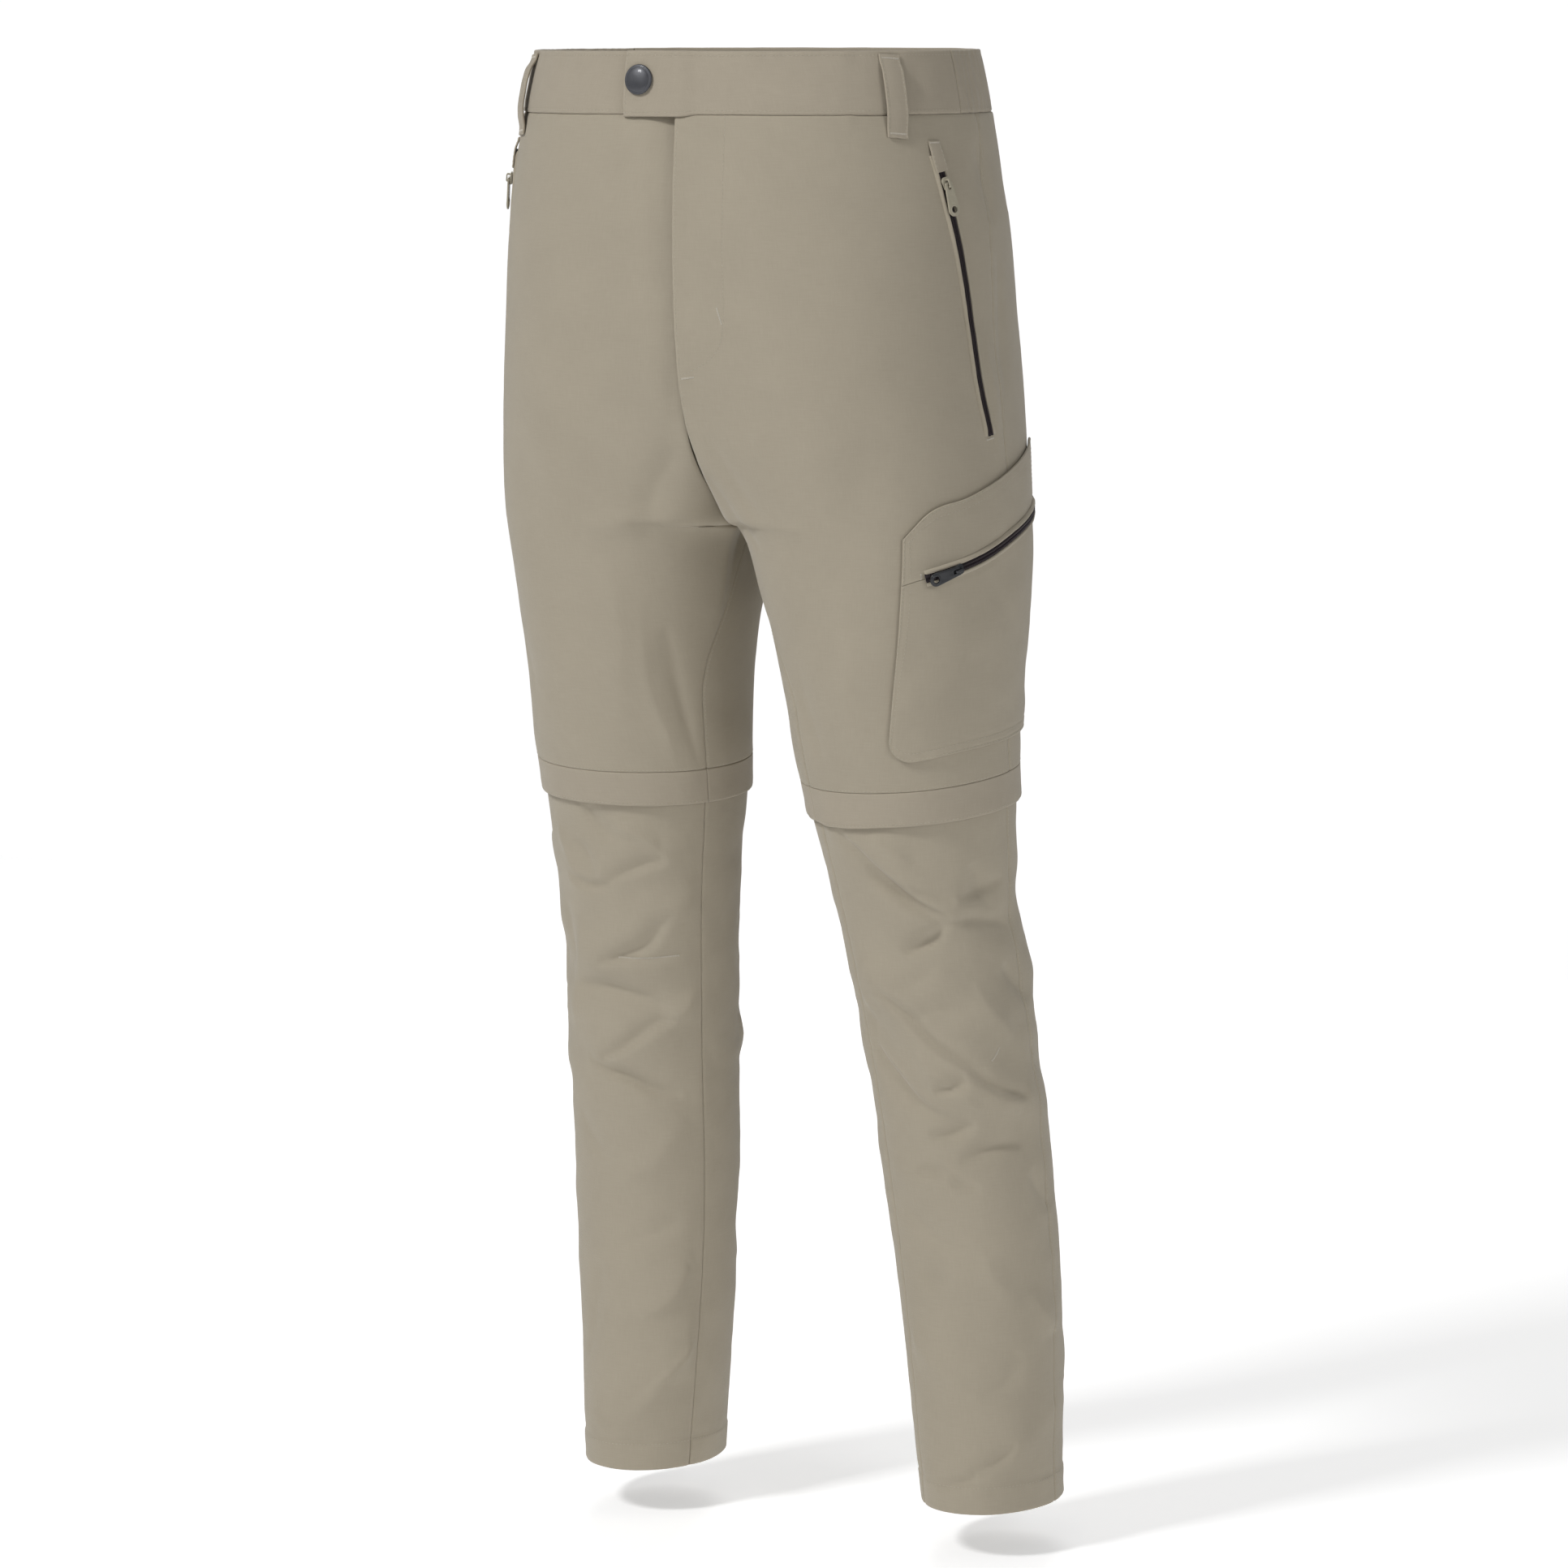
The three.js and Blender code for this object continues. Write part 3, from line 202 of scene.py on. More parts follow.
CREASES = {
    RIGHT: (
        # Right knee, front: the ridges and the sharp lines under them
        Crease(-72, -592, -112, -586, 5, -1.7, 4, 0.3),
        Crease(-108, -588, -152, -571, 6, -2.0, -3, 0.3),
        Crease(-98, -532, -118, -558, 9, -1.6, 3, 0.2),
        Crease(-84, -560, -100, -584, 8, -1.3, -3, 0.0),
        Crease(-88, -655, -152, -618, 6, -2.2, 3, 0.4),
        Crease(-92, -649, -160, -640, 5, -1.0, 0, 0.2),
        Crease(-66, -668, -146, -692, 7, -1.8, -5, -0.3),
        Crease(-86, -729, -152, -696, 6, -2.6, -4, 0.5),
        Crease(-74, -730, -150, -757, 6, -2.4, 3, 0.5),
        Crease(-64, -548, -82, -590, 9, 1.2, 2, 0.0),
        Crease(-120, -546, -150, -560, 8, 1.3, -3, 0.1),
        Crease(-54, -610, -66, -652, 9, -1.2, 3, 0.0),
        Crease(-70, -620, -60, -700, 11, 1.1, 3, 0.0),
        Crease(-140, -700, -176, -664, 9, 1.5, 4, 0.0),
        Crease(-60, -770, -92, -806, 10, -1.0, 4, 0.2),
        Crease(-150, -772, -96, -822, 13, 1.2, 4, 0.1),
        Crease(-140, -842, -96, -868, 12, -1.0, 3, 0.2),
        Crease(-144, -888, -106, -918, 9, 1.7, 3, 0.3),
        Crease(-162, -930, -86, -998, 7, 1.5, 4, -0.4),
        Crease(-132, -966, -78, -1008, 9, -1.7, -3, 0.3),
        Crease(-76, -880, -58, -960, 12, -1.1, 4, 0.0),
        Crease(-40, -640, -20, -700, 10, -1.1, 4, 0.1),
        Crease(-30, -560, -14, -606, 9, 1.2, -3, 0.0),
        Crease(-36, -740, -8, -776, 10, -1.2, 3, 0.2),
        # Right leg, inner side beside the seam
        Crease(168, -560, 152, -640, 9, -1.6, 3, 0.0),
        Crease(176, -700, 150, -742, 9, 1.4, -3, 0.2),
        Crease(166, -880, 150, -820, 10, -1.4, 3, 0.1),
        Crease(-172, -852, -150, -884, 9, -1.5, 3, 0.2),
        # Right knee, back, and the calf below it
        Crease(36, -600, 104, -572, 7, -1.9, 4, 0.4),
        Crease(46, -632, 128, -604, 8, 1.7, -3, 0.2),
        Crease(22, -662, 92, -650, 7, -2.0, 4, 0.4),
        Crease(60, -700, 132, -668, 8, -1.8, -4, 0.3),
        Crease(24, -716, 78, -728, 8, 1.5, 3, 0.1),
        Crease(66, -764, 120, -738, 9, -1.5, 3, 0.3),
        Crease(50, -824, 116, -788, 12, 1.3, 5, 0.1),
        Crease(40, -880, 92, -912, 12, -1.4, 4, 0.2),
        Crease(66, -958, 120, -990, 11, 1.6, 4, 0.2),
        Crease(30, -976, 64, -1012, 9, -1.4, 3, 0.2),
        # Drag lines at the crotch, front and back, and under the seat
        Crease(-246, -268, -206, -342, 10, -1.2, -4, 0.1),
        Crease(260, -262, 200, -318, 10, -1.7, 4, 0.2),
        Crease(272, -290, 218, -348, 9, -1.6, -3, 0.2),
        Crease(200, -336, 116, -364, 13, -1.8, 6, 0.2),
        Crease(156, -386, 92, -436, 14, -1.2, -4, 0.1),
        # Long soft falls on the thighs
        Crease(-60, -330, -74, -460, 17, -1.0, 6, 0.0),
        Crease(-176, -350, -150, -470, 15, 1.0, 5, 0.0),
        Crease(-40, -400, -30, -490, 13, -0.9, 3, 0.0),
        Crease(60, -400, 70, -490, 15, 1.0, 4, 0.0),
        Crease(170, -440, 150, -496, 10, -1.4, 3, 0.1),
        Crease(188, -396, 172, -470, 10, 1.2, 3, 0.0),
        # Beside the hand pockets and under the waistband
        Crease(-8, -60, 4, -132, 8, -1.2, -2, 0.0),
        Crease(10, -150, 6, -250, 9, -1.0, 4, 0.0),
        Crease(58, -56, 64, -104, 8, -1.2, 2, 0.0),
        Crease(90, -54, 94, -98, 8, -1.0, 2, 0.0),
        # The inner thighs turn away sharply below the crotch
        Crease(-283, -300, -226, -470, 11, 1.6, 0, -0.3),
        Crease(-302, -306, -244, -470, 10, -2.6, 0, 0.2),
        # Long falls beside the right inner seam above the knee
        Crease(-206, -400, -192, -506, 7, -1.2, 3, 0.2),
        Crease(-190, -386, -176, -506, 9, 0.8, -3, 0.0),
        # The cloth bridges the hollow of the groin, front and back
        Crease(-160, -325, -350, -329, 12, 2.3, 0, 0.0),
        Crease(170, -325, 350, -329, 12, 2.0, 0, 0.0),
        # The right front sinks in beside the fly's edge
        Crease(-226, -58, -232, -250, 21, -0.7, -4, -0.3),
        Crease(-250, -210, -236, -318, 17, -0.6, -3, 0.0),
    ),
    LEFT: (
        # Left knee, front
        Crease(-138, -536, -56, -601, 6, -2.4, 4, -0.5),
        Crease(-118, -566, -58, -612, 7, -1.9, -3, 0.4),
        Crease(-92, -630, -62, -606, 6, -2.2, 3, 0.3),
        Crease(-64, -606, -8, -612, 6, -1.5, -4, 0.2),
        Crease(-84, -577, -50, -588, 5, -1.7, 0, 0.3),
        Crease(-50, -588, -10, -577, 6, -1.5, 3, 0.3),
        Crease(-110, -544, -80, -560, 6, 1.2, 2, 0.0),
        Crease(-122, -652, -42, -727, 6, -2.4, 3, 0.5),
        Crease(-96, -700, -56, -742, 7, 1.6, 2, 0.0),
        Crease(-140, -690, -74, -752, 6, -2.2, 4, -0.4),
        Crease(-86, -728, -62, -722, 5, -2.6, 2, 0.4),
        Crease(-64, -722, -16, -736, 5, -2.2, -4, 0.4),
        Crease(-94, -764, -62, -751, 6, -2.1, 2, 0.3),
        Crease(-72, -778, -22, -769, 6, -1.8, -3, 0.3),
        Crease(-110, -794, -82, -787, 6, -1.9, 2, 0.3),
        Crease(-84, -787, -62, -804, 6, -1.5, 2, 0.2),
        Crease(-108, -656, -70, -640, 8, -1.3, 3, 0.2),
        Crease(-102, -680, -48, -668, 8, -1.1, -3, 0.1),
        Crease(-44, -652, -22, -690, 9, 1.2, 3, 0.0),
        Crease(-36, -560, -20, -600, 9, -1.2, 3, 0.0),
        Crease(-150, -612, -128, -676, 9, 1.3, 3, 0.0),
        Crease(-120, -820, -76, -850, 11, -1.2, 4, 0.2),
        Crease(-112, -866, -84, -868, 8, -1.6, 2, 0.2),
        Crease(-66, -846, -34, -890, 12, 1.2, 4, 0.1),
        Crease(-124, -910, -78, -944, 12, 1.3, 4, 0.1),
        Crease(-70, -956, -34, -922, 11, -1.3, 3, 0.2),
        Crease(-76, -1008, -42, -991, 6, -1.7, 3, 0.3),
        Crease(-104, -1018, -68, -1012, 5, -1.6, 0, 0.2),
        # Left knee, back, and the calf below it
        Crease(30, -584, 88, -596, 7, -2.0, 3, 0.4),
        Crease(60, -560, 128, -578, 8, 1.6, 4, 0.1),
        Crease(40, -636, 122, -656, 7, -2.1, -4, 0.4),
        Crease(22, -676, 86, -700, 8, -1.6, 4, 0.3),
        Crease(74, -712, 134, -730, 8, 1.6, 3, 0.1),
        Crease(34, -764, 96, -776, 9, -1.6, 4, 0.3),
        Crease(40, -830, 110, -846, 12, 1.3, -4, 0.1),
        Crease(62, -880, 118, -858, 11, -1.4, 4, 0.2),
        Crease(36, -950, 100, -968, 11, 1.5, 4, 0.2),
        Crease(50, -1006, 96, -986, 9, -1.4, 3, 0.2),
        # Left shin towards the side seam
        Crease(-16, -640, 10, -668, 9, -1.3, 3, 0.1),
        Crease(-20, -790, 8, -822, 10, -1.2, 3, 0.1),
        Crease(-24, -880, 10, -914, 12, 1.1, 3, 0.1),
        # Drag lines at the crotch, front and back, and under the seat
        Crease(-240, -262, -196, -330, 9, -1.3, 4, 0.1),
        Crease(-252, -290, -214, -346, 8, -1.2, 3, 0.2),
        Crease(-200, -250, -176, -318, 14, 0.9, 3, 0.0),
        Crease(262, -268, 206, -322, 10, -1.8, -4, 0.2),
        Crease(270, -296, 214, -352, 9, -1.6, 3, 0.2),
        Crease(196, -330, 120, -366, 13, -1.7, 6, 0.2),
        Crease(150, -392, 96, -430, 14, -1.2, 4, 0.1),
        # Long soft falls on the thighs
        Crease(-150, -360, -126, -480, 15, 1.0, -4, 0.0),
        Crease(-176, -420, -150, -492, 11, -1.1, 4, 0.1),
        Crease(90, -400, 96, -492, 15, -1.0, 4, 0.0),
        # Beside the hand pockets and under the waistband
        Crease(-8, -62, 6, -120, 8, -1.2, 2, 0.0),
        Crease(12, -140, 8, -240, 9, -1.1, 4, 0.0),
        Crease(-12, -200, -6, -280, 8, 0.9, 3, 0.0),
        Crease(60, -56, 66, -110, 8, -1.2, 2, 0.0),
        Crease(92, -54, 90, -96, 8, -1.0, 2, 0.0),
        # The inner thighs turn away sharply below the crotch
        Crease(-280, -310, -226, -440, 12, 1.1, 0, -0.2),
        # The cloth bridges the hollow of the groin, front and back
        Crease(-160, -325, -350, -329, 12, 1.5, 0, 0.0),
        Crease(170, -325, 350, -329, 12, 2.0, 0, 0.0),
    ),
}


def clamp(value: np.ndarray, low: float = 0.0, high: float = 1.0) -> np.ndarray:
    """Keeps values within two limits."""
    return np.clip(value, low, high)


def mix(a: np.ndarray, b: np.ndarray, t: np.ndarray) -> np.ndarray:
    """Goes from a to b as t goes from 0 to 1."""
    return a + (b - a) * t


def smooth(value: np.ndarray) -> np.ndarray:
    """Goes from 0 to 1 with level ends."""
    t = clamp(value)
    return t * t * (3 - 2 * t)


def bell(distance: np.ndarray, width: float) -> np.ndarray:
    """Falls smoothly from 1 to 0 on both sides of a line."""
    return np.exp(-((distance / width) ** 2))


class Curve:
    """Smooth curve through the rows of a table, level beyond its ends."""

    def __init__(self, keys: Sequence[float], values: Sequence[float]) -> None:
        """Takes the table's rows.

        Args:
            keys: positions, all rising or all falling.
            values: what the curve passes through there.
        """
        self.sense = 1.0 if keys[-1] > keys[0] else -1.0
        self.keys = self.sense * np.asarray(keys, float)
        self.values = np.asarray(values, float)
        spans = np.diff(self.keys)
        rises = np.diff(self.values) / spans
        self.slopes = np.empty_like(self.values)
        self.slopes[0], self.slopes[-1] = rises[0], rises[-1]
        self.slopes[1:-1] = (rises[:-1] * spans[1:] + rises[1:] * spans[:-1]) / (spans[:-1] + spans[1:])

    def __call__(self, at: np.ndarray) -> np.ndarray:
        """Gives the curve's value at each position."""
        x = clamp(self.sense * np.asarray(at, float), self.keys[0], self.keys[-1])
        i = np.clip(np.searchsorted(self.keys, x, side="right") - 1, 0, len(self.keys) - 2)
        span = self.keys[i + 1] - self.keys[i]
        t = (x - self.keys[i]) / span
        start = (2 * t**3 - 3 * t**2 + 1) * self.values[i] + (t**3 - 2 * t**2 + t) * span * self.slopes[i]
        end = (3 * t**2 - 2 * t**3) * self.values[i + 1] + (t**3 - t**2) * span * self.slopes[i + 1]
        return start + end


class Noise:
    """Smooth noise from a fixed lattice, the same on each run."""

    def __init__(self, seed: int, side: int = 96) -> None:
        """Draws the lattice once.

        Args:
            seed: fixes the draw.
            side: points along each side of the lattice, which then repeats.
        """
        self.side = side
        self.lattice = np.random.RandomState(seed).uniform(-1, 1, (side, side))

    def __call__(self, u: np.ndarray, v: np.ndarray) -> np.ndarray:
        """Gives noise from -1 to 1 at each pair of positions."""
        i, j = np.floor(u).astype(int), np.floor(v).astype(int)
        a, b = smooth(u - i), smooth(v - j)
        at = lambda di, dj: self.lattice[(i + di) % self.side, (j + dj) % self.side]
        return mix(mix(at(0, 0), at(1, 0), a), mix(at(0, 1), at(1, 1), a), b)


class Form:
    """The garment's outer face: its sections, and distances along them."""

    STEPS = 24
    QUARTERS = 5
    PITCH = 2.0

    def __init__(self) -> None:
        """Makes the section curves, and a table of distances along the sections."""
        heights = [row.z for row in SECTIONS]
        names = Section._fields[1:]
        self.curves = {name: Curve(heights, [getattr(row, name) for row in SECTIONS]) for name in names}
        self.turns = np.arange(self.QUARTERS * self.STEPS + 1) / self.STEPS
        above = np.append(np.arange(10.0, CROTCH, -self.PITCH), CROTCH)
        below = np.append(CROTCH - 1e-4, np.arange(CROTCH - 0.5, HEM - 12, -self.PITCH))
        self.heights = np.concatenate([above, below])
        self.table = self._distances(self.heights)

    def _distances(self, z: np.ndarray) -> np.ndarray:
        """Distances from the side seam at even turns, a row for each height."""
        x, y = self.outline(self.turns[None, :], z[:, None])
        steps = np.hypot(np.diff(x, axis=1), np.diff(y, axis=1))
        length = np.concatenate([np.zeros((len(z), 1)), np.cumsum(steps, axis=1)], axis=1)
        return length - length[:, [2 * self.STEPS]]

    def section(self, z: np.ndarray) -> dict[str, np.ndarray]:
        """Sizes of the half section at each height.

        Args:
            z: heights in millimetres.

        Returns:
            The table's columns by name, with the centre seams' depth and the roundness.
        """
        half = {name: curve(z) for name, curve in self.curves.items()}
        t = clamp((CLEFT_TOP - z) / (CLEFT_TOP - CROTCH))
        above = z >= CROTCH
        arch = ARCH_HALF_WIDTH * np.sqrt(clamp((CROTCH - z) / (CROTCH - ARCH_LOW)))
        half["inn"] = np.where(above, 0.0, np.where(z > ARCH_LOW, arch, half["inn"]))
        settled = mix(ROUND_CROTCH, ROUND_LEG, smooth((CROTCH - z) / SETTLE))
        half["round"] = np.where(above, mix(ROUND_TOP, ROUND_CROTCH, t**1.5), settled)
        leg_seam = mix(CROTCH_Y, half["side"], clamp((CROTCH - z) / SEAM_BACK))
        rise = mix(CROTCH_Y, half["front"], (1 - t**FRONT_FALL) ** FRONT_REACH)
        half["front_seam"] = np.where(above, rise, leg_seam)
        rise = mix(CROTCH_Y, half["back"], (1 - t**BACK_FALL) ** BACK_REACH)
        half["back_seam"] = np.where(above, rise, leg_seam)
        return half

    def outline(self, turn: np.ndarray, z: np.ndarray) -> tuple[np.ndarray, np.ndarray]:
        """Point of a half section.

        Args:
            turn: 0 at the centre front or inner leg, 2 at the side seam, 4 at the back.
            z: heights, of a shape that goes with the turns.

        Returns:
            The distance from the middle plane, and the distance back.
        """
        half = self.section(z)
        whole = np.where(turn > 4, turn - 4, np.maximum(0, turn))
        angle = (whole % 1) * QUARTER
        s, c = np.sin(angle), np.cos(angle)
        quarter = [whole < 1, whole < 2, whole < 3, whole < 4]
        front, back = half["front_at"], half["back_at"]
        x = np.select(
            quarter,
            [
                front - (front - half["inn"]) * c,
                front + (half["out"] - front) * s,
                back + (half["out"] - back) * c,
                back - (back - half["inn"]) * s,
            ],
            half["inn"],
        )
        y = np.select(
            quarter,
            [
                half["front_seam"] + (half["front"] - half["front_seam"]) * s ** half["round"],
                half["side"] + (half["front"] - half["side"]) * c,
                half["side"] + (half["back"] - half["side"]) * s,
                half["back_seam"] + (half["back"] - half["back_seam"]) * c ** half["round"],
            ],
            half["back_seam"],
        )
        return x, y

    def _rows(self, z: np.ndarray) -> np.ndarray:
        """The distance table's row at each height, between the two nearest rows."""
        i = np.clip(np.searchsorted(-self.heights, -z, side="right") - 1, 0, len(self.heights) - 2)
        t = (self.heights[i] - z) / (self.heights[i] - self.heights[i + 1])
        t = clamp(t)[:, None]
        return self.table[i] * (1 - t) + self.table[i + 1] * t

    def around(self, turn: np.ndarray, z: np.ndarray) -> np.ndarray:
        """Distance from the side seam along the cloth at each turn and height."""
        shape = np.broadcast(turn, z).shape
        turn, z = (np.broadcast_to(v, shape).ravel().astype(float) for v in (turn, z))
        rows = self._rows(z)
        place = clamp(turn * self.STEPS, 0, rows.shape[1] - 1.0001)
        i = place.astype(int)
        every = np.arange(len(z))
        return mix(rows[every, i], rows[every, i + 1], place - i).reshape(shape)

    def turn(self, around: np.ndarray, z: np.ndarray) -> np.ndarray:
        """Turn that lies at each distance from the side seam."""
        shape = np.broadcast(around, z).shape
        around, z = (np.broadcast_to(v, shape).ravel().astype(float) for v in (around, z))
        rows = self._rows(z)
        i = np.clip((rows <= around[:, None]).sum(1) - 1, 0, rows.shape[1] - 2)
        every = np.arange(len(z))
        a, b = rows[every, i], rows[every, i + 1]
        return ((i + (around - a) / (b - a)) / self.STEPS).reshape(shape)

    def normal(self, turn: np.ndarray, z: np.ndarray) -> np.ndarray:
        """Outward direction of the plain form at each turn and height, on the +X side."""
        below = z < CROTCH
        low = np.where(below, z - NORMAL_DROP, np.maximum(CROTCH + 1e-4, z - NORMAL_DROP))
        high = np.where(below, np.minimum(CROTCH - 1e-4, z + NORMAL_DROP), z + NORMAL_DROP)
        after_turn = np.where(below, turn + NORMAL_STEP, np.minimum(4, turn + NORMAL_STEP))
        x0, y0 = self.outline(np.maximum(0, turn - NORMAL_STEP), z)
        x1, y1 = self.outline(after_turn, z)
        xa, ya = self.outline(turn, high)
        xb, yb = self.outline(turn, low)
        along = np.stack([x1 - x0, y1 - y0, np.zeros_like(x0)], -1)
        up = np.stack([xa - xb, ya - yb, high - low], -1)
        out = np.cross(along, up)
        return out / np.linalg.norm(out, axis=-1, keepdims=True)


FORM = Form()


def inner_turn(leg: Leg, z: np.ndarray) -> np.ndarray:
    """Turn of the centre front seam, and of the inner seam below the crotch."""
    return leg.inseam * smooth((CROTCH - z) / SEAM_SWING)


def folds_height(leg: Leg, around: np.ndarray, z: np.ndarray) -> np.ndarray:
    """Height of the large folds, which the solids have too."""
    total = np.zeros(np.broadcast(around, z).shape)
    for fold in FOLDS[leg]:
        across, down = fold.to_around - fold.around, fold.to_z - fold.z
        length = math.hypot(across, down)
        along = ((around - fold.around) * across + (z - fold.z) * down) / length
        aside = ((around - fold.around) * down - (z - fold.z) * across) / length
        past = np.maximum(0, np.maximum(-along, along - length))
        fade = bell(past, FOLD_FADE * fold.width)
        total += fold.height * fade * bell(aside, fold.width)
    return total


class Drape:
    """Everything that the worn cloth adds to the plain form."""

    WANDER_STEP = 34.0
    WANDER = 4.5
    TAPER = 0.75
    GAIN = 2.3
    NARROW = 0.95
    PEAK = 1.45
    SEAM_FADE = 12.0
    TIP_WIDTH = 0.45
    KNEE_Z, KNEE_REACH = -690.0, 150.0
    ANKLE_Z, ANKLE_REACH, ANKLE_SHARE = -820.0, 160.0, 0.55
    CALM = 0.28
    BROAD, SMALL, FINE = 1.1, 0.4, 0.09

    def __init__(self) -> None:
        """Fixes the noise."""
        self.wander = (Noise(11), Noise(12))
        self.soft = Noise(13)
        self.fine = Noise(14)

    def _crease(self, crease: Crease, around: np.ndarray, z: np.ndarray) -> np.ndarray:
        """Height of one crease."""
        across, down = crease.to_around - crease.around, crease.to_z - crease.z
        length = math.hypot(across, down)
        t = clamp(((around - crease.around) * across + (z - crease.z) * down) / length**2)
        belly = 4 * t * (1 - t)
        sense = 1.0 if across >= 0 else -1.0
        aside = sense * ((around - crease.around) * down - (z - crease.z) * across) / length
        aside = aside - crease.bow * belly
        flank = np.where(aside > 0, 1 - crease.lean, 1 + crease.lean)
        width = self.NARROW * crease.width * flank * mix(self.TIP_WIDTH, 1.0, np.sqrt(belly))
        ridge = np.exp(-(np.abs(aside / width) ** self.PEAK))
        return self.GAIN * crease.height * belly**self.TAPER * ridge

    def _hollow(self, z: np.ndarray) -> np.ndarray:
        """How crumpled the cloth is at each height: smooth at the hips, most at the knees."""
        knee = bell(z - self.KNEE_Z, self.KNEE_REACH)
        ankle = self.ANKLE_SHARE * smooth((self.ANKLE_Z - z) / self.ANKLE_REACH)
        return mix(self.CALM, 1.0, np.maximum(knee, ankle))

    def height(self, leg: Leg, around: np.ndarray, z: np.ndarray) -> np.ndarray:
        """Height of folds, creases and soft unevenness above the plain form.

        Args:
            leg: the leg that the cloth is on.
            around: distances from the side seam.
            z: heights.

        Returns:
            Heights in millimetres.
        """
        u, v = around / self.WANDER_STEP + 7 * leg.mirror, z / self.WANDER_STEP
        a = around + self.WANDER * self.wander[0](u, v)
        b = z + self.WANDER * self.wander[1](u, v)
        total = folds_height(leg, around, z)
        for crease in CREASES[leg]:
            total += self._crease(crease, a, b)
        rough = self._hollow(z)
        total += self.BROAD * rough * self.soft(a / 38 + 3, b / 27)
        total += self.SMALL * rough * self.soft(a / 15, b / 11 + 5)
        total += self.FINE * rough * self.fine(a / 6, b / 6)
        turn = inner_turn(leg, z)
        inside = np.minimum(around - FORM.around(turn, z), FORM.around(4 + turn, z) - around)
        return total * smooth(inside / self.SEAM_FADE)


DRAPE = Drape()


NEAR_EDGE = np.array((0.0, 0.25, 0.6, 1.1, 1.8, 3.0))


def edge_spaced(length: np.ndarray, pitch: float) -> np.ndarray:
    """Distances across a piece, close together at both edges.

    Args:
        length: the whole width, for one row or for each row.
        pitch: spacing in the middle of the widest row.

    Returns:
        Rising distances from 0 to the length, along a new last axis.
    """
    length = np.asarray(length, float)[..., None]
    count = max(1, round((float(length.max()) - 2 * NEAR_EDGE[-1]) / pitch))
    middle = NEAR_EDGE[-1] + (length - 2 * NEAR_EDGE[-1]) * np.linspace(0, 1, count + 1)
    first = np.broadcast_to(NEAR_EDGE[:-1], (*length.shape[:-1], len(NEAR_EDGE) - 1))
    return np.concatenate([first, middle, (length - first)[..., ::-1]], -1)


def rounded(distance: np.ndarray, thickness: float) -> np.ndarray:
    """How far each face draws in near an edge, so that the edge is round."""
    radius = thickness / 2
    inside = clamp(distance / radius)
    return (radius - RIM_LIP) * (1 - np.sqrt(np.maximum(0, 1 - (1 - inside) ** 2)))


def edge_distance(positions: np.ndarray) -> np.ndarray:
    """Distance of each position from the nearer end of its row."""
    return np.minimum(positions - positions[..., :1], positions[..., -1:] - positions)


class Slot(Enum):
    """Names of material slots."""

    CLOTH = "cloth"
    BAND = "band_cloth"
    COIL = "zip_coil"
    TAN = "tan_metal"
    BLACK = "black_metal"
    BUTTON = "button_metal"


class Hold(Enum):
    """How a sheet of cloth is held."""

    HUNG = "hung"
    GATHERED = "gathered"
    STRETCHED = "stretched"
    FOLDED = "folded"
    LAID = "laid"


class Socket:
    """A material socket that takes part in plain arithmetic."""

    def __init__(self, graph: "Graph", socket: bpy.types.NodeSocket) -> None:
        """Wraps a node's output."""
        self.graph = graph
        self.socket = socket

    def _with(self, operation: str, *values: "Socket | float") -> "Socket":
        """Adds a Math node."""
        settings = {"operation": operation}
        return self.graph.node("ShaderNodeMath", settings, dict(enumerate(values)))

    def __add__(self, other: "Socket | float") -> "Socket":
        """Sum."""
        return self._with("ADD", self, other)

    def __sub__(self, other: "Socket | float") -> "Socket":
        """Difference."""
        return self._with("SUBTRACT", self, other)

    def __rsub__(self, other: float) -> "Socket":
        """Difference, from a number."""
        return self._with("SUBTRACT", other, self)

    def __mul__(self, other: "Socket | float") -> "Socket":
        """Product."""
        return self._with("MULTIPLY", self, other)

    __radd__ = __add__
    __rmul__ = __mul__

    def sine(self) -> "Socket":
        """Sine, in radians."""
        return self._with("SINE", self)

    def clamped(self) -> "Socket":
        """The value kept from 0 to 1."""
        return self._with("MAXIMUM", self._with("MINIMUM", self, 1.0), 0.0)


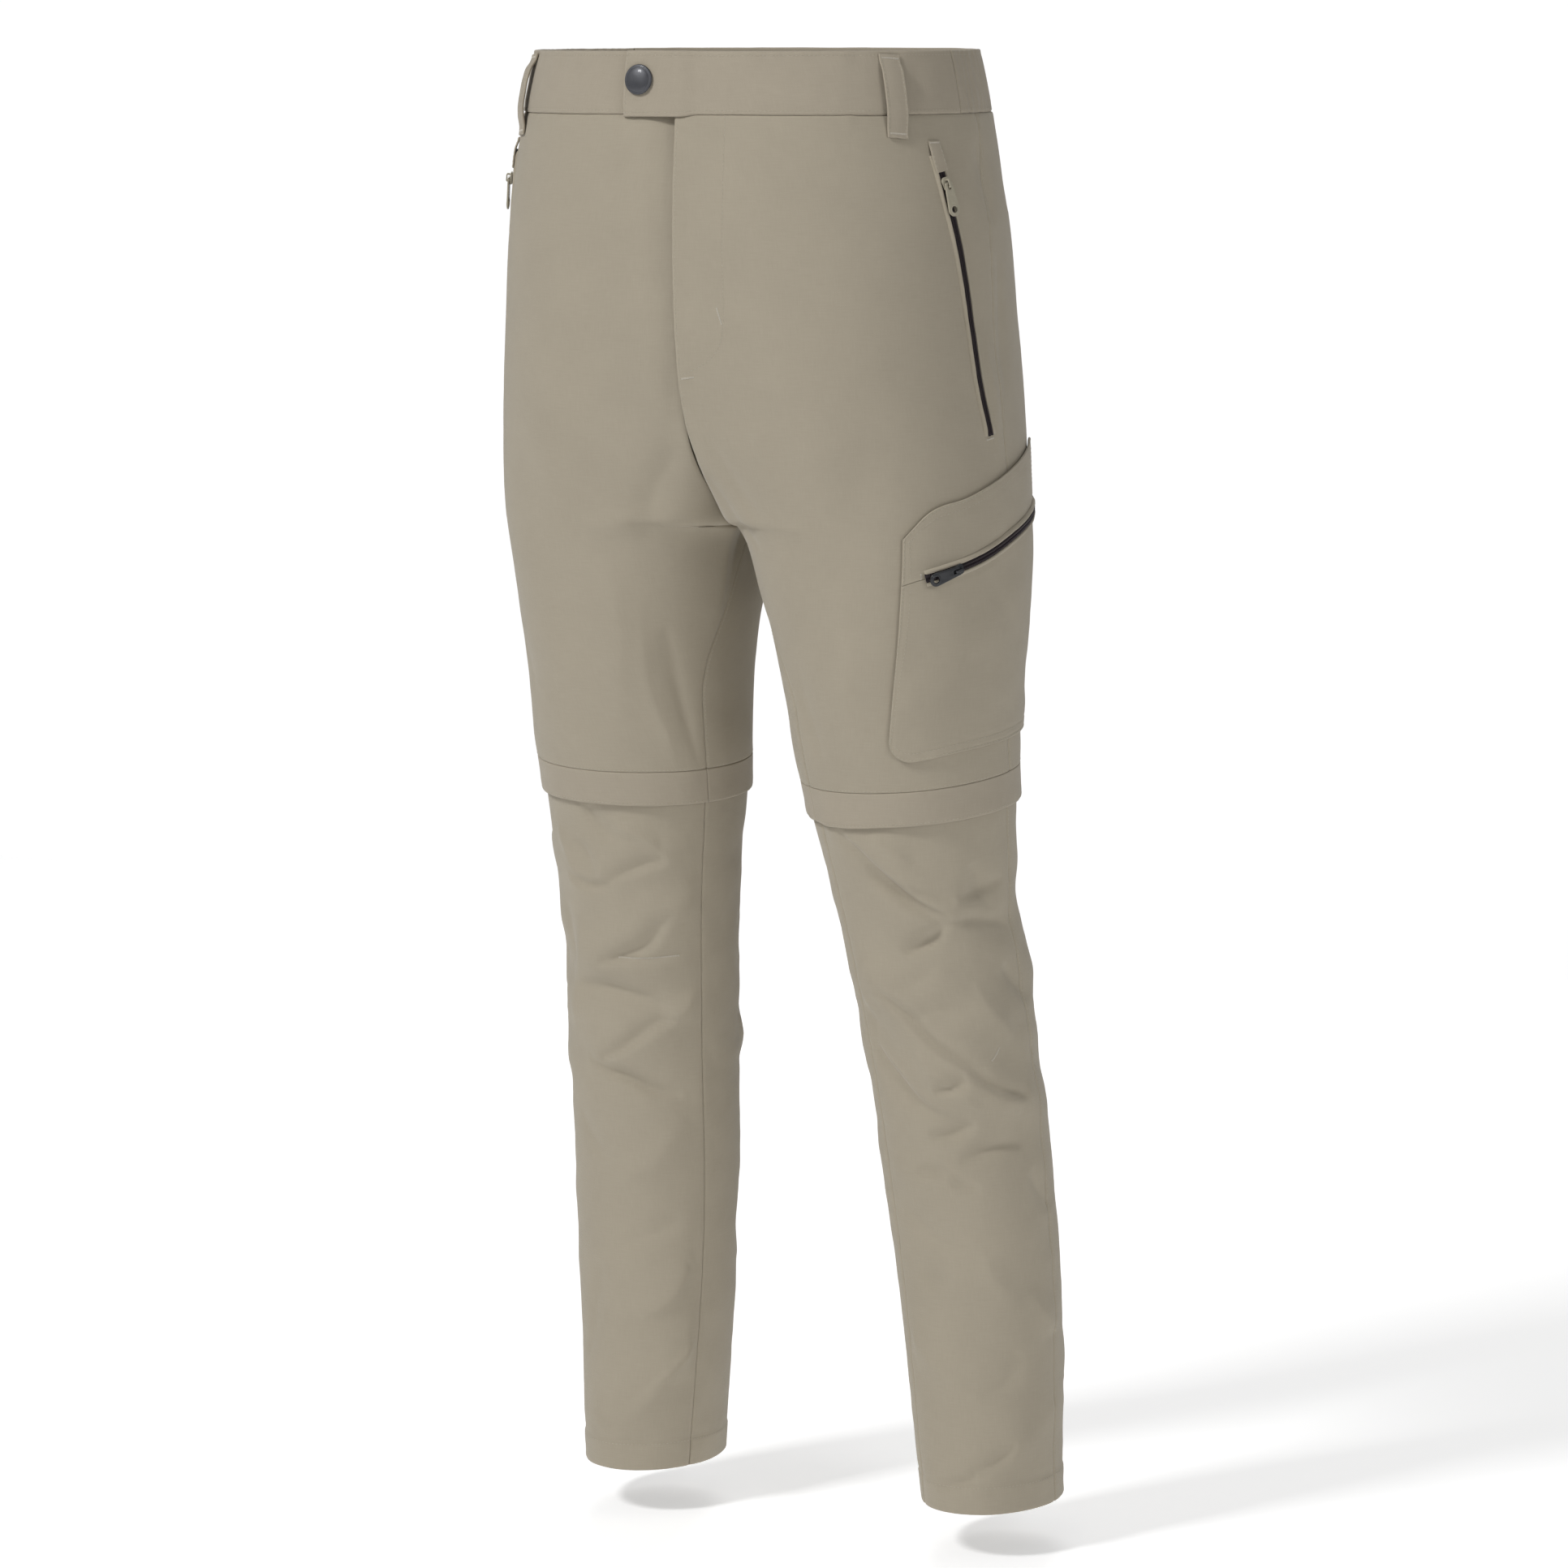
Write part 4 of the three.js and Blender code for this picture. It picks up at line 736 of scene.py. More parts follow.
class Graph:
    """A material under construction."""

    def __init__(self, name: str) -> None:
        """Makes a material with a bare surface shader."""
        self.material = bpy.data.materials.new(name)
        self.material.use_nodes = True
        self.tree = self.material.node_tree
        self.shader = self.tree.nodes["Principled BSDF"]

    def node(
        self, kind: str, settings: dict | None = None, inputs: dict | None = None, output: int | str = 0
    ) -> Socket:
        """Adds a node.

        Args:
            kind: the node's type.
            settings: properties, set first.
            inputs: values or sockets by input name or place.
            output: which output to give back.

        Returns:
            The chosen output.
        """
        made = self.tree.nodes.new(kind)
        for key, value in (settings or {}).items():
            setattr(made, key, value)
        for key, value in (inputs or {}).items():
            if isinstance(value, Socket):
                self.tree.links.new(value.socket, made.inputs[key])
            else:
                made.inputs[key].default_value = value
        return Socket(self, made.outputs[output])

    def blend(self, factor: Socket, low: Sequence[float], high: Sequence[float]) -> Socket:
        """Goes from one colour to another."""
        settings = {"data_type": "RGBA"}
        return self.node("ShaderNodeMix", settings, {0: factor, 6: (*low, 1.0), 7: (*high, 1.0)}, 2)

    def noise(self, vector: Socket, scale: float, detail: float = 2.0, rough: float = 0.5) -> Socket:
        """Noise about 0, from -0.5 to 0.5."""
        inputs = {"Vector": vector, "Scale": scale, "Detail": detail, "Roughness": rough}
        return self.node("ShaderNodeTexNoise", None, inputs) - 0.5

    def stretched(self, vector: Socket, scale: Sequence[float]) -> Socket:
        """The vector scaled along each axis."""
        return self.node("ShaderNodeMapping", None, {"Vector": vector, "Scale": tuple(scale)})

    def place(self) -> Socket:
        """Where each point lies on its piece, in metres."""
        return self.node("ShaderNodeTexCoord", None, None, "Object")

    def bump(self, height: Socket, distance: float, strength: float = 1.0) -> None:
        """Feeds a relief to the surface's normal."""
        inputs = {"Height": height, "Distance": distance, "Strength": strength}
        relief = self.node("ShaderNodeBump", None, inputs)
        self.tree.links.new(relief.socket, self.shader.inputs["Normal"])

    def feed(self, **values: "Socket | float") -> None:
        """Sets the shader's sockets, with underscores for the spaces in their names."""
        for key, value in values.items():
            socket = self.shader.inputs[key.replace("_", " ")]
            if isinstance(value, Socket):
                self.tree.links.new(value.socket, socket)
            else:
                socket.default_value = value


def shades(colour: Sequence[float], dark: float, pale: float) -> tuple[list[float], list[float]]:
    """A darker and a paler shade of one colour."""
    return [c * dark for c in colour], [min(1.0, c * pale) for c in colour]


@dataclass(frozen=True)
class PlainWeave:
    """Matt plain-weave nylon, with its threads, faint streaks and colour painted paler near every edge.

    Args:
        name: the material's name.
        colour: the mean colour, linear.
        thread: spacing of the threads, in metres.
        relief: height of the weave, in metres.
        streak: strength of the streaks along the threads.
    """

    name: str
    colour: tuple[float, float, float]
    thread: float = 0.0005
    relief: float = 0.00005
    streak: float = 0.34

    def material(self) -> bpy.types.Material:
        """Builds the material."""
        graph = Graph(self.name)
        cloth = graph.node("ShaderNodeUVMap", {"uv_map": "cloth"})
        u = graph.node("ShaderNodeSeparateXYZ", None, {0: cloth}, 0)
        v = graph.node("ShaderNodeSeparateXYZ", None, {0: cloth}, 1)
        turns = 2 * math.pi / self.thread
        weave = (u * turns).sine() * (v * turns).sine()
        warp = graph.noise(graph.stretched(cloth, (1400, 90, 1)), 1.0)
        weft = graph.noise(graph.stretched(cloth, (80, 1300, 1)), 1.0)
        mottle = graph.noise(graph.stretched(cloth, (22, 22, 1)), 1.0, 3.0)
        edge = graph.node("ShaderNodeAttribute", {"attribute_name": "edge"}, None, "Fac")
        # Colour painted paler within about 3 mm of every edge, in uneven patches
        paler_edge = (1.0 - edge * 320.0).clamped()
        paler_edge = paler_edge * (0.55 + graph.noise(graph.stretched(cloth, (300, 300, 1)), 1.0) * 1.2)
        tone = 0.5 + (warp + weft) * self.streak + mottle * 0.36 + weave * 0.06 + paler_edge * 0.22
        graph.feed(Base_Color=graph.blend(tone.clamped(), *shades(self.colour, 0.86, 1.14)))
        graph.feed(Roughness=0.88, Specular_IOR_Level=0.25, Sheen_Weight=0.18, Sheen_Roughness=0.45)
        graph.bump(weave * 0.5 + (warp + weft) * 0.8, self.relief)
        return graph.material


@dataclass(frozen=True)
class Thread:
    """Sewing thread, a touch paler than the cloth."""

    name: str
    colour: tuple[float, float, float]
    rough: float = 0.62

    def material(self) -> bpy.types.Material:
        """Builds the material."""
        graph = Graph(self.name)
        place = graph.place()
        twist = graph.noise(place, 2600.0, 1.0)
        tone = (twist * 1.4 + 0.5).clamped()
        graph.feed(Base_Color=graph.blend(tone, *shades(self.colour, 0.8, 1.15)))
        graph.feed(Roughness=self.rough, Specular_IOR_Level=0.3, Sheen_Weight=0.2)
        graph.bump(twist, 0.00012)
        return graph.material


@dataclass(frozen=True)
class Moulded:
    """Moulded nylon of a zip's coil."""

    name: str
    colour: tuple[float, float, float]
    rough: float = 0.38

    def material(self) -> bpy.types.Material:
        """Builds the material."""
        graph = Graph(self.name)
        place = graph.place()
        haze = graph.noise(place, 420.0, 2.0)
        graph.feed(Base_Color=graph.blend((haze + 0.5).clamped(), *shades(self.colour, 0.75, 1.35)))
        graph.feed(Roughness=(haze * 0.25 + self.rough), Specular_IOR_Level=0.5)
        return graph.material


@dataclass(frozen=True)
class PaintedMetal:
    """Painted die-cast metal, a little glossier, with uneven tone and roughness.

    Args:
        name: the material's name.
        colour: the paint's colour, linear.
        rough: mean roughness.
        metal: share of bare metal in the look.
        grain: height of the orange-peel relief, in metres.
    """

    name: str
    colour: tuple[float, float, float]
    rough: float = 0.42
    metal: float = 0.0
    grain: float = 0.00004

    def material(self) -> bpy.types.Material:
        """Builds the material."""
        graph = Graph(self.name)
        place = graph.place()
        peel = graph.noise(place, 1500.0, 2.0)
        smear = graph.noise(place, 160.0, 3.0)
        tone = (0.5 + smear * 1.1 + peel * 0.5).clamped()
        graph.feed(Base_Color=graph.blend(tone, *shades(self.colour, 0.8, 1.25)))
        graph.feed(Metallic=self.metal, Roughness=(self.rough + smear * 0.22), Coat_Weight=0.15)
        graph.bump(peel, self.grain)
        return graph.material


@dataclass(frozen=True)
class StudioFloor:
    """Plain pale floor, lit a little from within as a light table is."""

    name: str
    colour: tuple[float, float, float]
    glow: float = 0.4

    def material(self) -> bpy.types.Material:
        """Builds the material."""
        graph = Graph(self.name)
        place = graph.place()
        cloud = graph.noise(place, 1.5, 2.0)
        near = [c * 0.985 for c in self.colour]
        graph.feed(Base_Color=graph.blend((cloud + 0.5).clamped(), near, self.colour), Roughness=0.8)
        graph.feed(Emission_Color=(1.0, 1.0, 1.0, 1.0), Emission_Strength=self.glow)
        return graph.material


@dataclass
class Finishes:
    """Every material, made once."""

    cloth: bpy.types.Material
    band: bpy.types.Material
    thread: bpy.types.Material
    tack: bpy.types.Material
    tape: bpy.types.Material
    coil: bpy.types.Material
    tan: bpy.types.Material
    black: bpy.types.Material
    button: bpy.types.Material


def make_finishes() -> Finishes:
    """Builds the garment's materials."""
    return Finishes(
        cloth=PlainWeave("beige_nylon", (0.345, 0.305, 0.236)).material(),
        band=PlainWeave("beige_nylon_doubled", (0.345, 0.303, 0.237)).material(),
        thread=Thread("beige_thread", (0.40, 0.362, 0.285)).material(),
        tack=Thread("pale_tack_thread", (0.56, 0.52, 0.45)).material(),
        tape=PlainWeave("zip_tape", (0.020, 0.014, 0.017), 0.0006, 0.00008, 0.5).material(),
        coil=Moulded("zip_coil", (0.022, 0.013, 0.016)).material(),
        tan=PaintedMetal("tan_paint", (0.34, 0.31, 0.235)).material(),
        black=PaintedMetal("black_paint", (0.012, 0.013, 0.016), 0.36).material(),
        button=PaintedMetal("antique_grey", (0.062, 0.064, 0.072), 0.46, 0.35, 0.00006).material(),
    )


class Path(NamedTuple):
    """A line on the cloth: its points in millimetres and the directions out from the cloth."""

    points: np.ndarray
    outs: np.ndarray


class Rim(Enum):
    """Which side of a wall a line keeps beside."""

    FIRST = "first column"
    LAST = "last column"
    TOP = "first row"
    BOTTOM = "last row"


@dataclass
class Patch:
    """A wall of cloth as two grids of points, in millimetres.

    Args:
        outer: points of the outer face, by row and column.
        inner: points of the inner face.
        across: where each point lies on the cloth, sideways.
        down: where each point lies on the cloth, lengthways.
        edge: distance of each point from the nearest edge.
        flat: the outer face before any folds, for the size of the cut.
    """

    outer: np.ndarray
    inner: np.ndarray
    across: np.ndarray
    down: np.ndarray
    edge: np.ndarray
    flat: np.ndarray

    def cut(self) -> tuple[float, float, float]:
        """Width, length and area of the flat cut, in metres."""
        wide = np.linalg.norm(np.diff(self.flat, axis=1), axis=-1).sum(1).max() * MM
        long = np.linalg.norm(np.diff(self.flat, axis=0), axis=-1).sum(0).max() * MM
        a, b = self.flat[1:, 1:] - self.flat[:-1, :-1], self.flat[1:, :-1] - self.flat[:-1, 1:]
        area = np.linalg.norm(np.cross(a, b), axis=-1).sum() / 2 * MM * MM
        return float(wide), float(long), float(min(area, wide * long))

    def line(self, rows: np.ndarray, columns: np.ndarray, lift: float = 0.0) -> "Path":
        """A line on the outer face.

        Args:
            rows: places along the line, counted in rows with fractions.
            columns: the same places counted in columns.
            lift: distance off the face.

        Returns:
            The line and the directions out from the cloth.
        """
        rows = clamp(np.asarray(rows, float), 0, self.outer.shape[0] - 1.001)
        columns = clamp(np.asarray(columns, float), 0, self.outer.shape[1] - 1.001)
        i, j = rows.astype(int), columns.astype(int)
        s, t = (rows - i)[:, None], (columns - j)[:, None]

        def between(grid: np.ndarray) -> np.ndarray:
            """Blends the four nearest points."""
            return mix(mix(grid[i, j], grid[i + 1, j], s), mix(grid[i, j + 1], grid[i + 1, j + 1], s), t)

        out = between(self.outer - self.inner)
        out /= np.linalg.norm(out, axis=-1, keepdims=True)
        return Path(between(self.outer) + out * lift, out)

    def place(self, around: np.ndarray, z: np.ndarray) -> tuple[np.ndarray, np.ndarray]:
        """Rows and columns, with fractions, of places given by distance from the side seam and height."""
        rows, columns = [], []
        for a, h in zip(np.asarray(around, float), np.asarray(z, float)):
            near = (self.across - a) ** 2 + (self.down - h) ** 2
            i, j = np.unravel_index(np.argmin(near), near.shape)
            i, j = min(max(i, 1), near.shape[0] - 2), min(max(j, 1), near.shape[1] - 2)
            wide = [(g[i, j + 1] - g[i, j - 1]) / 2 for g in (self.across, self.down)]
            long = [(g[i + 1, j] - g[i - 1, j]) / 2 for g in (self.across, self.down)]
            gap = (a - self.across[i, j], h - self.down[i, j])
            area = long[0] * wide[1] - wide[0] * long[1]
            rows.append(i + (gap[0] * wide[1] - wide[0] * gap[1]) / area)
            columns.append(j + (long[0] * gap[1] - gap[0] * long[1]) / area)
        return np.array(rows), np.array(columns)

    def through(self, around: Sequence[float], z: Sequence[float], lift: float = 0.0) -> "Path":
        """A smooth line on the outer face through a few places."""
        around, z = np.asarray(around, float), np.asarray(z, float)
        steps = np.concatenate([[0], np.cumsum(np.hypot(np.diff(around), np.diff(z)))])
        fine = np.linspace(0, steps[-1], max(2, int(steps[-1] / 2.5)))
        rows, columns = self.place(Curve(steps, around)(fine), Curve(steps, z)(fine))
        return self.line(rows, columns, lift)

    def beside(self, rim: "Rim", distance: float, trim: float = 0.0, lift: float = 0.0) -> "Path":
        """A line at an even distance from one rim.

        Args:
            rim: which rim.
            distance: distance from it, in millimetres.
            trim: length left bare at both ends.
            lift: distance off the face.

        Returns:
            The line.
        """
        turned = rim in (Rim.TOP, Rim.BOTTOM)
        grid = self.outer.swapaxes(0, 1) if turned else self.outer
        steps = np.linalg.norm(np.diff(grid, axis=1), axis=-1)
        length = np.concatenate([np.zeros((len(grid), 1)), np.cumsum(steps, axis=1)], axis=1)
        target = length[:, -1] - distance if rim in (Rim.LAST, Rim.BOTTOM) else np.full(len(grid), distance)
        across = np.array([np.interp(a, row, np.arange(len(row))) for a, row in zip(target, length)])
        down = np.arange(len(grid), dtype=float)
        first = self.line(across, down) if turned else self.line(down, across)
        run = np.concatenate([[0], np.cumsum(np.linalg.norm(np.diff(first.points, axis=0), axis=-1))])
        keep = np.linspace(trim, run[-1] - trim, max(2, int((run[-1] - 2 * trim) / 2.5)))
        down, across = np.interp(keep, run, down), np.interp(keep, run, across)
        return self.line(across, down, lift) if turned else self.line(down, across, lift)


def wall_faces(patch: Patch) -> np.ndarray:
    """Faces of a wall, pointing out and closed round its rim, by index within the patch."""
    rows, columns = patch.outer.shape[:2]
    at = np.arange(rows * columns).reshape(rows, columns)
    back = at + rows * columns
    outer = np.stack([at[:-1, :-1], at[1:, :-1], at[1:, 1:], at[:-1, 1:]], -1).reshape(-1, 4)
    inner = np.stack([back[:-1, :-1], back[:-1, 1:], back[1:, 1:], back[1:, :-1]], -1).reshape(-1, 4)
    rims = [
        np.stack([at[0, :-1], at[0, 1:], back[0, 1:], back[0, :-1]], -1),
        np.stack([at[-1, 1:], at[-1, :-1], back[-1, :-1], back[-1, 1:]], -1),
        np.stack([at[1:, 0], at[:-1, 0], back[:-1, 0], back[1:, 0]], -1),
        np.stack([at[:-1, -1], at[1:, -1], back[1:, -1], back[:-1, -1]], -1),
    ]
    faces = np.concatenate([outer, inner, *rims])
    i, j = rows // 2, columns // 2
    spot = patch.outer[i, j]
    under, beside = patch.outer[min(i + 1, rows - 1), j], patch.outer[i, min(j + 1, columns - 1)]
    turned = np.cross(under - spot, beside - spot)
    return faces if turned @ (spot - patch.inner[i, j]) > 0 else faces[:, ::-1]


UV_SHIFT = 61.7


def in_scene(name: str, data: bpy.types.ID) -> bpy.types.Object:
    """Puts a mesh, a curve, a light or a camera in the scene as an object at the origin."""
    piece = bpy.data.objects.new(name, data)
    bpy.context.scene.collection.objects.link(piece)
    return piece


def cloth_object(name: str, patches: Sequence[Patch], finish: bpy.types.Material) -> bpy.types.Object:
    """Makes one mesh of several walls of cloth.

    Args:
        name: the piece's name.
        patches: its walls.
        finish: its material.

    Returns:
        The object, at the origin.
    """
    points, faces, places, edges = [], [], [], []
    count = 0
    for patch in patches:
        grid = np.concatenate([patch.outer.reshape(-1, 3), patch.inner.reshape(-1, 3)])
        place = np.stack([patch.across.ravel(), patch.down.ravel()], -1)
        points.append(grid)
        faces.append(wall_faces(patch) + count)
        places.append(np.concatenate([place, place]))
        edges.append(np.tile(patch.edge.ravel(), 2))
        count += len(grid)
    made = np.concatenate(faces)
    shift = UV_SHIFT * len(bpy.data.meshes)
    mesh = bpy.data.meshes.new(name)
    mesh.from_pydata(np.concatenate(points) * MM, [], made.tolist())
    mesh.polygons.foreach_set("use_smooth", np.ones(len(made), bool))
    uv = mesh.uv_layers.new(name="cloth")
    laid = (np.concatenate(places)[made.ravel()] + shift) * MM
    uv.data.foreach_set("uv", laid.astype(np.float32).ravel())
    near = mesh.attributes.new("edge", "FLOAT", "POINT")
    near.data.foreach_set("value", (np.concatenate(edges) * MM).astype(np.float32))
    mesh.materials.append(finish)
    mesh.update()
    return in_scene(name, mesh)


def settle(
    piece: bpy.types.Object, nodes: Sequence[str], body: str = GARMENT
) -> bpy.types.Object:
    """Lets a piece ride on its body and stand for its nodes.

    Args:
        piece: the finished piece.
        nodes: names of the nodes that it stands for.
        body: the body that it moves with.

    Returns:
        The piece.
    """
    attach(piece, body)
    if nodes:
        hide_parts(*nodes)
    log.info("%s rides on %s, %d faces", piece.name, body, len(piece.data.polygons))
    return piece


def sheet_of_cloth(
    name: str, patch: Patch, finish: bpy.types.Material
) -> bpy.types.Object:
    """Makes a piece of cloth, and logs the size of its unfolded face as its cut.

    Args:
        name: the piece's name, and its node's.
        patch: its wall.
        finish: its material.

    Returns:
        The piece.
    """
    piece = settle(cloth_object(name, [patch], finish), [name.removesuffix("_cloth")])
    wide, long, area = patch.cut()
    log.info("%s is cut %.0f by %.0f mm, %.4f square metres", name, wide / MM, long / MM, area)
    return piece


class Stitch(NamedTuple):
    """One small rounded form of a row, in millimetres."""

    pitch: float
    along: float
    across: float
    high: float
    vary: float


TOPSTITCH = Stitch(2.9, 2.2, 0.46, 0.4, 0.08)
TACK = Stitch(0.55, 0.42, 1.7, 0.5, 0.12)
TEETH = Stitch(1.1, 0.84, 2.5, 1.1, 0.0)


class RowTree:
    """Geometry Nodes that set one small rounded form again and again along paths."""

    SEED = 7
    SEGMENTS = 6
    RINGS = 3
    SIZES = ("Pitch", "Along", "Across", "High", "Vary")

    def __init__(self) -> None:
        """Builds the tree with its named inputs."""
        self.tree = bpy.data.node_groups.new("row_along_path", "GeometryNodeTree")
        face = self.tree.interface
        kinds = {"Paths": "Geometry", **dict.fromkeys(self.SIZES, "Float"), "Finish": "Material"}
        self.names = {}
        for name, kind in kinds.items():
            given = face.new_socket(name, in_out="INPUT", socket_type="NodeSocket" + kind)
            self.names[name] = given.identifier
        face.new_socket("Row", in_out="OUTPUT", socket_type="NodeSocketGeometry")
        self._wire()

    def _add(self, kind: str, settings: dict | None = None, inputs: dict | None = None) -> bpy.types.Node:
        """Adds a node, with its settings, then its values and links."""
        node = self.tree.nodes.new(kind)
        for key, value in (settings or {}).items():
            setattr(node, key, value)
        for key, value in (inputs or {}).items():
            if isinstance(value, bpy.types.NodeSocket):
                self.tree.links.new(value, node.inputs[key])
            else:
                node.inputs[key].default_value = value
        return node

    def _wire(self) -> None:
        """Joins paths, form and finish."""
        given = self._add("NodeGroupInput").outputs
        curve = self._add("GeometryNodeMeshToCurve", None, {"Mesh": given["Paths"]})
        spacing = {"Curve": curve.outputs[0], "Length": given["Pitch"]}
        even = self._add("GeometryNodeResampleCurve", {"mode": "LENGTH"}, spacing)
        tangent = self._add("GeometryNodeInputTangent")
        out = self._add("GeometryNodeInputNamedAttribute", {"data_type": "FLOAT_VECTOR"}, {"Name": "out"})
        axes = {"primary_axis": "X", "secondary_axis": "Z"}
        turn = self._add("FunctionNodeAxesToRotation", axes, {0: tangent.outputs[0], 1: out.outputs[0]})
        sides = {"Segments": self.SEGMENTS, "Rings": self.RINGS, "Radius": 0.5}
        ball = self._add("GeometryNodeMeshUVSphere", None, sides)
        lengths = {0: given["Along"], 1: given["Across"], 2: given["High"]}
        sizes = self._add("ShaderNodeCombineXYZ", None, lengths)
        scaled = {"Geometry": ball.outputs[0], "Scale": sizes.outputs[0]}
        form = self._add("GeometryNodeTransform", None, scaled)
        least = self._add("ShaderNodeMath", {"operation": "SUBTRACT"}, {0: 1.0, 1: given["Vary"]})
        most = self._add("ShaderNodeMath", {"operation": "ADD"}, {0: 1.0, 1: given["Vary"]})
        limits = {2: least.outputs[0], 3: most.outputs[0], "Seed": self.SEED}
        varied = self._add("FunctionNodeRandomValue", {"data_type": "FLOAT"}, limits)
        copies = {"Points": even.outputs[0], "Instance": form.outputs[0]}
        copies |= {"Rotation": turn.outputs[0], "Scale": varied.outputs[1]}
        placed = self._add("GeometryNodeInstanceOnPoints", None, copies)
        real = self._add("GeometryNodeRealizeInstances", None, {"Geometry": placed.outputs[0]})
        soft = self._add("GeometryNodeSetShadeSmooth", None, {"Geometry": real.outputs[0]})
        finish = {"Geometry": soft.outputs[0], "Material": given["Finish"]}
        dressed = self._add("GeometryNodeSetMaterial", None, finish)
        self._add("NodeGroupOutput", None, {0: dressed.outputs[0]})

    def rows(
        self, name: str, paths: Sequence[Path], stitch: Stitch, finish: bpy.types.Material
    ) -> bpy.types.Object:
        """Makes the rows along all the paths as one plain mesh.

        Args:
            name: the piece's name.
            paths: the lines to follow.
            stitch: sizes of one form and its spacing.
            finish: the material.

        Returns:
            The object, at the origin.
        """
        points = np.concatenate([path.points for path in paths]) * MM
        outs = np.concatenate([path.outs for path in paths])
        starts = np.cumsum([0, *(len(path.points) for path in paths)])
        links = [(k, k + 1) for a, b in zip(starts[:-1], starts[1:]) for k in range(a, b - 1)]
        line = bpy.data.meshes.new(name + "_paths")
        line.from_pydata(points, links, [])
        out = line.attributes.new("out", "FLOAT_VECTOR", "POINT")
        out.data.foreach_set("vector", outs.astype(np.float32).ravel())
        guide = in_scene(name + "_paths", line)
        modifier = guide.modifiers.new("row", "NODES")
        modifier.node_group = self.tree
        for key, value in zip(self.SIZES, stitch):
            modifier[self.names[key]] = value if key == "Vary" else value * MM
        modifier[self.names["Finish"]] = finish
        graph = bpy.context.evaluated_depsgraph_get()
        mesh = bpy.data.meshes.new_from_object(guide.evaluated_get(graph))
        guide.modifiers.remove(modifier)
        bpy.data.objects.remove(guide)
        bpy.data.meshes.remove(line)
        mesh.name = name
        return in_scene(name, mesh)


@dataclass
class Workroom:
    """What every sub-assembly is made with.

    Args:
        finishes: the materials.
        rows: makes stitches and teeth.
    """

    finishes: Finishes
    rows: RowTree

    def sew(self, name: str, paths: Sequence[Path], slot: Slot = Slot.CLOTH) -> bpy.types.Object:
        """Sews rows of topstitching."""
        return settle(self.rows.rows(name, paths, TOPSTITCH, self.finishes.thread), [])

    def tack(self, name: str, paths: Sequence[Path], slot: Slot = Slot.CLOTH) -> bpy.types.Object:
        """Sews dense bars that hold a strained end."""
        return settle(self.rows.rows(name, paths, TACK, self.finishes.tack), [])


MIDDLE_GAP = 0.03
PITCH = 3.0
GROOVE, GROOVE_REACH = 0.55, 1.6
PUCKER, PUCKER_REACH, PUCKER_STEP = 0.3, 7.0, 6.5


class Edges:
    """How the cloth behaves beside its seams: a soft groove, and small puckers drawn by the stitching."""

    def __init__(self) -> None:
        """Fixes the noise."""
        self.noise = Noise(21)

    def height(self, distance: np.ndarray, along: np.ndarray, strength: float = 1.0) -> np.ndarray:
        """Relief at a distance from a seam.

        Args:
            distance: distance from the seam.
            along: position along the seam.
            strength: how strongly the seam is puckered.

        Returns:
            Heights in millimetres.
        """
        wave = self.noise(along / PUCKER_STEP, distance / 16 + 0.13 * along / PUCKER_STEP)
        pucker = PUCKER * strength * wave * np.exp(-distance / PUCKER_REACH)
        return pucker - GROOVE * bell(distance, GROOVE_REACH)


EDGES = Edges()


def wall(
    leg: Leg,
    turn: np.ndarray,
    z: np.ndarray,
    lift: np.ndarray | float,
    thickness: np.ndarray | float,
    edge: np.ndarray,
    side: np.ndarray | None = None,
) -> Patch:
    """Makes a wall of cloth that lies on the worn form.

    Args:
        leg: the leg, for its folds.
        turn: turns round the half section, by row and column.
        z: heights.
        lift: distance of the outer face from the worn form.
        thickness: of the cloth.
        edge: distance of each point from the nearest cut or folded edge.
        side: sign of X for each point, for a piece that crosses the middle.

    Returns:
        The wall.
    """
    given = (np.asarray(v, float) for v in (turn, z, lift, thickness, edge))
    turn, z, lift, thickness, edge = np.broadcast_arrays(*given)
    x, y = FORM.outline(turn, z)
    out = FORM.normal(turn, z)
    base = np.stack([x, y, z], -1)
    around = FORM.around(turn, z)
    relief = DRAPE.height(leg, around, z)
    drawn = rounded(edge, thickness)
    faces = [base + out * (relief + off)[..., None] for off in (lift - drawn, lift - thickness + drawn)]
    flat = base + out * lift[..., None]
    if side is None:
        for face in faces:
            close = z > CROTCH - 1
            face[..., 0] = np.where(close, np.maximum(face[..., 0], MIDDLE_GAP), face[..., 0])
    for face in (*faces, flat):
        face[..., 0] *= leg.mirror if side is None else side
    return Patch(faces[0], faces[1], around, z, edge, flat)


def level_height(leg: Leg, turn: np.ndarray, level: np.ndarray) -> np.ndarray:
    """Height of a level line, which slopes down to the front near the knee."""
    above = (DIP_FROM - level) / (DIP_FROM - COVER_TOP)
    below = (level - DIP_TO) / (COVER_LOW - DIP_TO)
    wave = np.cos((turn - DIP_TURN) * QUARTER)
    return level - leg.dip * wave * smooth(np.where(level > COVER_TOP, above, below))


def flare_at(z: np.ndarray) -> np.ndarray:
    """How far the upper leg stands out where it widens towards the zip cover."""
    return FLARE * smooth((FLARE_FROM - z) / (FLARE_FROM - COVER_TOP))


class Face(Enum):
    """Front or back of a leg."""

    FRONT = "front"
    BACK = "back"


@dataclass(frozen=True)
class Lie:
    """Where a panel's points lie, by row and column from the inner edge to the side seam.

    Args:
        turn: turns round the half section.
        z: heights.
        edge: distance from the inner or side seam.
    """

    turn: np.ndarray
    z: np.ndarray
    edge: np.ndarray


